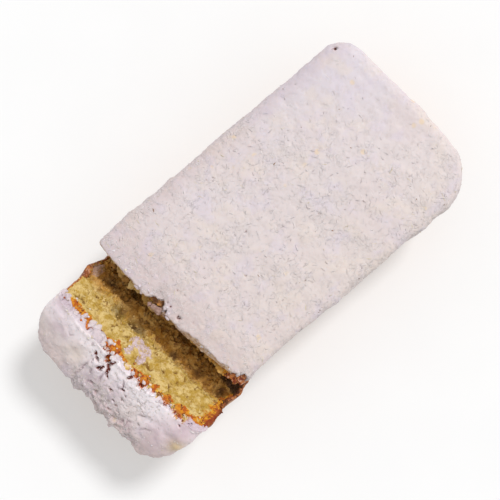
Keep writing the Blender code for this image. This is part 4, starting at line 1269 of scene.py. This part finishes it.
def icing_material():
    m = Nodes("coconut_icing")
    base = icing_colours(m)
    base = m.mix(m.attr("lit"), base, srgb(251, 240, 243))
    base = m.mix(m.attr("yellow"), base, srgb(232, 214, 170))
    base = m.mix(m.attr("shade"), base, (0.86, 0.80, 0.81), "MULTIPLY")
    # painted shade on the crumbled cut edge
    base = m.mix(m.attr("edge"), base, (0.77, 0.75, 0.79), "MULTIPLY")
    # painted shade on the slice's icing
    base = m.mix(m.attr("dim"), base, (0.79, 0.735, 0.775), "MULTIPLY")
    # painted shade: the low places between the shreds are coloured darker
    base = m.mix(m.ramp(m.attr("low"), 0.55, 1.0, 0.0, 0.25), base, srgb(202, 189, 184))
    base = speckled(m, base, 11.0, 2.2, 0.5, srgb(232, 204, 160), 0.5)
    base = speckled(m, base, 19.0, 1.0, 0.6, srgb(152, 108, 86), 0.65)
    # painted shadow: dark lines in the gaps between shreds, also used for the bump
    hair = m.math("MAXIMUM", strokes(m, 5.4, 0.035, 0.60, 0.69), strokes(m, 3.1, 0.05, 0.64, 0.72))
    hair = m.math("MULTIPLY", hair, m.ramp(m.attr("mat"), 0.1, 0.8, 0.15, 1.0))
    base = m.mix(m.math("MULTIPLY", hair, 0.32), base, srgb(176, 158, 148))
    tan = m.mix(m.ramp(m.noise(2.2, 3, 0.6), 0.35, 0.65), srgb(226, 206, 186), srgb(186, 150, 118))
    base = m.mix(m.ramp(m.attr("cut"), 0.15, 0.85), base, tan)
    base = m.mix(m.ramp(m.attr("crack"), 0.1, 0.4, 0.0, 0.35), base, srgb(186, 146, 140))
    base = m.mix(m.ramp(m.attr("crack"), 0.3, 0.7), base, m.mix(m.ramp(m.attr("lit"), 0.02, 0.2), srgb(92, 50, 40), srgb(104, 34, 16)))
    # painted shade in the creases
    base = m.mix(m.ramp(m.attr("crease"), 0.1, 0.9, 0.0, 0.62), base, srgb(142, 118, 126))
    raw = m.mix(m.ramp(m.noise(2.6, 4, 0.65), 0.45, 0.55), srgb(208, 116, 36), srgb(136, 48, 16))
    meal = m.mix(m.ramp(m.noise(2.2, 4, 0.65), 0.40, 0.60), srgb(196, 160, 66), srgb(222, 190, 128))
    raw = m.mix(m.math("MULTIPLY", m.ramp(m.attr("meal"), 0.3, 0.8), m.ramp(m.noise(3.4, 3, 0.6), 0.38, 0.48)), raw, meal)
    raw = m.mix(m.ramp(m.noise(1.9, 4, 0.65), 0.55, 0.62, 0.0, 0.9), raw, srgb(104, 34, 14))
    raw = m.mix(m.ramp(m.noise(2.3, 3, 0.65), 0.55, 0.62), raw, srgb(226, 206, 198))
    base = m.mix(m.ramp(m.attr("bare"), 0.2, 0.7), base, raw)
    m.put(m.bsdf.inputs["Base Color"], base)
    m.put(m.bsdf.inputs["Roughness"], m.ramp(m.noise(3.0, 2), 0.35, 0.65, 0.5, 0.72))
    m.bsdf.inputs["Subsurface Weight"].default_value = 0.2
    m.bsdf.inputs["Subsurface Radius"].default_value = (1.0, 0.8, 0.7)
    m.bsdf.inputs["Subsurface Scale"].default_value = 0.0018
    fine = m.bump(m.noise(1.3, 2, 0.5), 0.2, 0.2)
    m.put(m.bsdf.inputs["Normal"], m.bump(m.math("SUBTRACT", 1.0, hair), 0.4, 0.22, fine))
    return m.mat


def shred_material():
    m = Nodes("coconut_shred")
    base = icing_colours(m)
    tone = m.attr("tone")
    base = m.mix(m.ramp(tone, 0.0, 0.35, 0.5, 0.0), base, srgb(212, 200, 197))
    base = m.mix(m.ramp(tone, 0.6, 0.95, 0.0, 0.8), base, srgb(232, 222, 220))
    base = m.mix(m.math("MULTIPLY", m.ramp(tone, 0.40, 0.41, 0.0, 0.8), m.ramp(tone, 0.43, 0.42)), base, srgb(224, 208, 176))
    base = m.mix(m.math("MULTIPLY", m.ramp(tone, 0.010, 0.009), m.attr("bit")), base, srgb(146, 106, 80))
    m.put(m.bsdf.inputs["Base Color"], base)
    m.bsdf.inputs["Roughness"].default_value = 0.55
    m.bsdf.inputs["Subsurface Weight"].default_value = 0.25
    m.bsdf.inputs["Subsurface Radius"].default_value = (1.0, 0.85, 0.75)
    m.bsdf.inputs["Subsurface Scale"].default_value = 0.0014
    m.put(m.bsdf.inputs["Normal"], m.bump(m.noise(0.6, 2, 0.6), 0.2, 0.08))
    return m.mat


def lump_material():
    m = Nodes("icing_lump")
    base = m.mix(m.attr("tone"), srgb(216, 203, 210), srgb(228, 217, 217))
    base = m.mix(m.ramp(m.noise(2.4, 3, 0.6), 0.5, 0.72, 0.0, 0.5), base, srgb(214, 198, 206))
    base = m.mix(m.ramp(m.noise(3.6, 1), 0.6, 0.72, 0.0, 0.6), base, srgb(230, 216, 170))
    # painted shade on the lumps
    base = m.mix(m.attr("dim"), base, (0.54, 0.40, 0.33), "MULTIPLY")
    m.put(m.bsdf.inputs["Base Color"], base)
    m.bsdf.inputs["Roughness"].default_value = 0.6
    m.bsdf.inputs["Subsurface Weight"].default_value = 0.25
    m.bsdf.inputs["Subsurface Radius"].default_value = (1.0, 0.8, 0.7)
    m.bsdf.inputs["Subsurface Scale"].default_value = 0.0016
    m.put(m.bsdf.inputs["Normal"], m.bump(m.noise(1.1, 3, 0.6), 0.6, 0.35))
    return m.mat


def crust_colours(m):
    crust = m.mix(m.ramp(m.noise(19, 4, 0.6), 0.36, 0.64), srgb(204, 148, 88), srgb(168, 112, 60))
    crust = m.mix(m.ramp(m.noise(6.0, 4, 0.7), 0.5, 0.72, 0.0, 0.6), crust, srgb(146, 88, 42))
    crust = m.mix(m.ramp(m.noise(1.6, 4, 0.7), 0.52, 0.74, 0.0, 0.5), crust, srgb(222, 172, 110))
    crust = m.mix(m.ramp(m.noise(0.9, 3, 0.7), 0.55, 0.75, 0.0, 0.4), crust, srgb(140, 82, 40))
    return crust


def sponge_material():
    m = Nodes("sponge")
    crumb = m.mix(m.ramp(m.attr("tone"), 0.15, 0.85), srgb(180, 145, 60), srgb(214, 186, 121))
    spots = m.ramp(m.noise(2.4, 3, 0.6), 0.54, 0.66)
    crumb = m.mix(m.math("MULTIPLY", spots, 0.8), crumb, srgb(176, 138, 34))
    crumb = m.mix(m.ramp(m.noise(3.4, 3, 0.6, distortion=0.5), 0.57, 0.7, 0.0, 0.7), crumb, srgb(220, 198, 140))
    # painted shade: the crumb's hollows are coloured darker
    crumb = m.mix(m.ramp(m.attr("hollow"), 0.1, 1.0, 0.0, 0.6), crumb, srgb(164, 120, 50))
    crumb = m.mix(m.ramp(m.noise(1.1, 3, 0.7), 0.56, 0.68, 0.0, 0.55), crumb, srgb(150, 112, 30))
    crumb = m.mix(m.ramp(m.noise(1.3, 3, 0.7), 0.60, 0.72, 0.0, 0.6), crumb, srgb(232, 213, 154))
    # painted shade: the crumb low in the V is multiplied towards a darker, redder brown, and darkest in patches
    crumb = m.mix(m.ramp(m.attr("height"), 0.56, 0.42), crumb, (1.0, 0.74, 0.45), "MULTIPLY")
    deepest = m.math("MULTIPLY", m.ramp(m.noise(5.0, 3, 0.6), 0.42, 0.58), m.ramp(m.attr("height"), 0.58, 0.46, 0.0, 0.42))
    crumb = m.mix(deepest, crumb, srgb(130, 78, 20))
    # painted light: where pale is set, the shaded crumb is coloured paler
    light = m.mix(m.ramp(m.noise(4.0, 4, 0.6), 0.38, 0.62), srgb(192, 136, 54), srgb(230, 184, 104))
    crumb = m.mix(m.ramp(m.attr("pale"), 0.0, 1.0, 0.0, 0.9), crumb, light)
    # painted shade: the pores and tears are coloured dark
    crumb = m.mix(m.ramp(m.attr("pore"), 0.1, 0.9, 0.0, 0.85), crumb, srgb(120, 80, 18))
    mellow = m.mix(m.ramp(m.noise(3.0, 4, 0.65), 0.44, 0.56), srgb(218, 162, 36), srgb(190, 112, 18))
    strong = m.mix(m.ramp(m.noise(3.0, 4, 0.65), 0.44, 0.56), srgb(206, 126, 22), srgb(170, 70, 12))
    gold = m.mix(m.ramp(m.attr("toast"), 0.4, 0.8), mellow, strong)
    gold = m.mix(m.ramp(m.noise(2.6, 4, 0.7), 0.53, 0.60), gold, srgb(108, 36, 12))
    gold = m.mix(m.ramp(m.noise(2.6, 4, 0.65, distortion=0.6), 0.60, 0.68), gold, srgb(226, 180, 70))
    crumb = m.mix(m.ramp(m.attr("toast"), 0.08, 0.45), crumb, gold)
    crumb = m.mix(m.ramp(m.attr("toast"), 0.62, 1.0, 0.0, 0.75), crumb, srgb(122, 44, 16))
    paste = m.mix(m.ramp(m.noise(2.0, 4, 0.65), 0.38, 0.60), srgb(182, 156, 154), srgb(216, 196, 202))
    thin = m.ramp(m.noise(2.6, 3, 0.65, distortion=0.5), 0.60, 0.50, 0.35, 1.0)
    crumb = m.mix(m.math("MULTIPLY", m.ramp(m.attr("smear"), 0.1, 0.9, 0.0, 0.95), thin), crumb, paste)
    # painted shade: the dark mask colours torn holes, creases and the floor of the V near black-brown
    crumb = m.mix(m.ramp(m.attr("dark"), 0.05, 0.95, 0.0, 0.9), crumb, srgb(54, 27, 10))
    crust = m.mix(m.ramp(m.attr("height"), 0.12, 0.0, 0.0, 0.6), crust_colours(m), srgb(140, 84, 42))
    torn = m.mix(m.ramp(m.noise(3.0, 3, 0.6), 0.45, 0.55), srgb(216, 134, 68), srgb(130, 54, 24))
    torn = m.mix(m.ramp(m.noise(2.4, 3, 0.65), 0.53, 0.62, 0.0, 0.85), torn, srgb(232, 182, 152))
    crumb = m.mix(m.ramp(m.attr("ragged"), 0.3, 0.9, 0.0, 0.95), crumb, torn)
    crust = m.mix(m.ramp(m.attr("ragged"), 0.1, 0.9), crust, torn)
    crust = m.mix(m.math("MULTIPLY", m.math("MULTIPLY", m.ramp(m.attr("toast"), 0.5, 1.0), m.ramp(m.attr("height"), 0.86, 0.9)),
                         m.ramp(m.attr("ragged"), 0.6, 0.1)), crust, gold)
    crust = m.mix(m.ramp(m.attr("dark"), 0.1, 0.8, 0.0, 0.8), crust, srgb(108, 62, 22))
    # painted shade: the crust's pits are coloured darker
    crust = m.mix(m.attr("pit"), crust, srgb(104, 58, 26))
    m.put(m.bsdf.inputs["Base Color"], m.mix(m.attr("cut"), crust, crumb))
    m.put(m.bsdf.inputs["Roughness"], m.ramp(m.attr("cut"), 0.0, 1.0, 0.62, 0.9))
    fine = m.bump(m.noise(2.4, 3, 0.6), 0.35, 0.5)
    m.put(m.bsdf.inputs["Normal"], m.bump(m.noise(0.9, 3, 0.65), 0.45, 0.3, fine))
    return m.mat


def crumb_material():
    m = Nodes("cake_crumb")
    base = m.mix(m.attr("tone"), srgb(192, 154, 84), srgb(224, 196, 134))
    base = m.mix(m.ramp(m.noise(1.2, 3, 0.65), 0.5, 0.7, 0.0, 0.6), base, srgb(160, 116, 52))
    # painted shade: the deep mask darkens the crumbs
    base = m.mix(m.ramp(m.attr("deep"), 0.0, 1.0, 0.0, 0.85), base, srgb(148, 98, 40))
    brown = m.mix(m.ramp(m.noise(1.6, 2), 0.4, 0.6), srgb(190, 116, 46), srgb(124, 58, 24))
    base = m.mix(m.attr("brown"), base, m.mix(m.attr("deep"), brown, srgb(84, 44, 18)))
    m.put(m.bsdf.inputs["Base Color"], base)
    m.bsdf.inputs["Roughness"].default_value = 0.9
    m.put(m.bsdf.inputs["Normal"], m.bump(m.noise(0.6, 3, 0.65), 0.6, 0.25))
    return m.mat


FINISH = {"loaf_icing_vis": icing_material(), "coconut_shreds": shred_material(), "icing_lumps": lump_material(),
          "loaf_sponge_vis": sponge_material(), "cake_crumbs": crumb_material()}
FINISH["slice_icing_vis"] = FINISH["loaf_icing_vis"]
FINISH["slice_sponge_vis"] = FINISH["loaf_sponge_vis"]
FINISH["coconut_bits"] = FINISH["coconut_shreds"]
for name_, mat in FINISH.items():
    me = bpy.data.objects[name_].data
    me.materials.clear()
    me.materials.append(mat)

# ================================================================ camera, light, floor
ROLL, ELEV, DIST = math.radians(40.3), math.radians(87.0), 0.75
target = Vector((0.0010, 0.0004, 0.064))
back = Vector((0, -math.cos(ELEV), math.sin(ELEV)))
up0, right0 = Vector((0, math.sin(ELEV), math.cos(ELEV))), Vector((1, 0, 0))
right = math.cos(ROLL) * right0 - math.sin(ROLL) * up0
up = math.sin(ROLL) * right0 + math.cos(ROLL) * up0
cam = bpy.data.cameras.new("camera")
cam_ob = bpy.data.objects.new("camera", cam)
scene.collection.objects.link(cam_ob)
m3 = Matrix((right, up, back)).transposed()
cam_ob.matrix_world = Matrix.Translation(target + back * (DIST - 0.064)) @ m3.to_4x4()
cam.sensor_width = 36.0
cam.lens = 36.0 * (DIST - 0.064) / (0.5665e-3 * 500) * 0.999
cam.clip_start, cam.clip_end = 0.01, 20.0
scene.camera = cam_ob

bm = bmesh.new()
bmesh.ops.create_grid(bm, x_segments=2, y_segments=2, size=3.0)
fm = bpy.data.meshes.new("floor")
bm.to_mesh(fm)
bm.free()
floor = add_object("floor", fm)
floor.location.z = -0.0003
fmat = Nodes("floor_white")
fmat.put(fmat.bsdf.inputs["Base Color"], fmat.mix(fmat.ramp(fmat.noise(60, 2), 0.3, 0.7), (0.60, 0.60, 0.60), (0.61, 0.61, 0.61)))
fmat.bsdf.inputs["Emission Color"].default_value = (1, 1, 1, 1)
fmat.bsdf.inputs["Emission Strength"].default_value = 0.32
fmat.bsdf.inputs["Roughness"].default_value = 0.9
fm.materials.append(fmat.mat)

world = bpy.data.worlds.new("studio")
scene.world = world
world.use_nodes = True
bg = next(n for n in world.node_tree.nodes if n.type == "BACKGROUND")
bg.inputs[0].default_value = (1.0, 1.0, 1.0, 1)
bg.inputs[1].default_value = 0.57

sun = bpy.data.lights.new("key", "SUN")
sun.energy = 2.02
sun.angle = math.radians(13)
sun_ob = bpy.data.objects.new("key", sun)
scene.collection.objects.link(sun_ob)
sun_ob.rotation_euler = Vector((math.cos(math.radians(55)), 0.05, math.sin(math.radians(55)))).to_track_quat("Z", "Y").to_euler()
scene.view_settings.view_transform = "Standard"
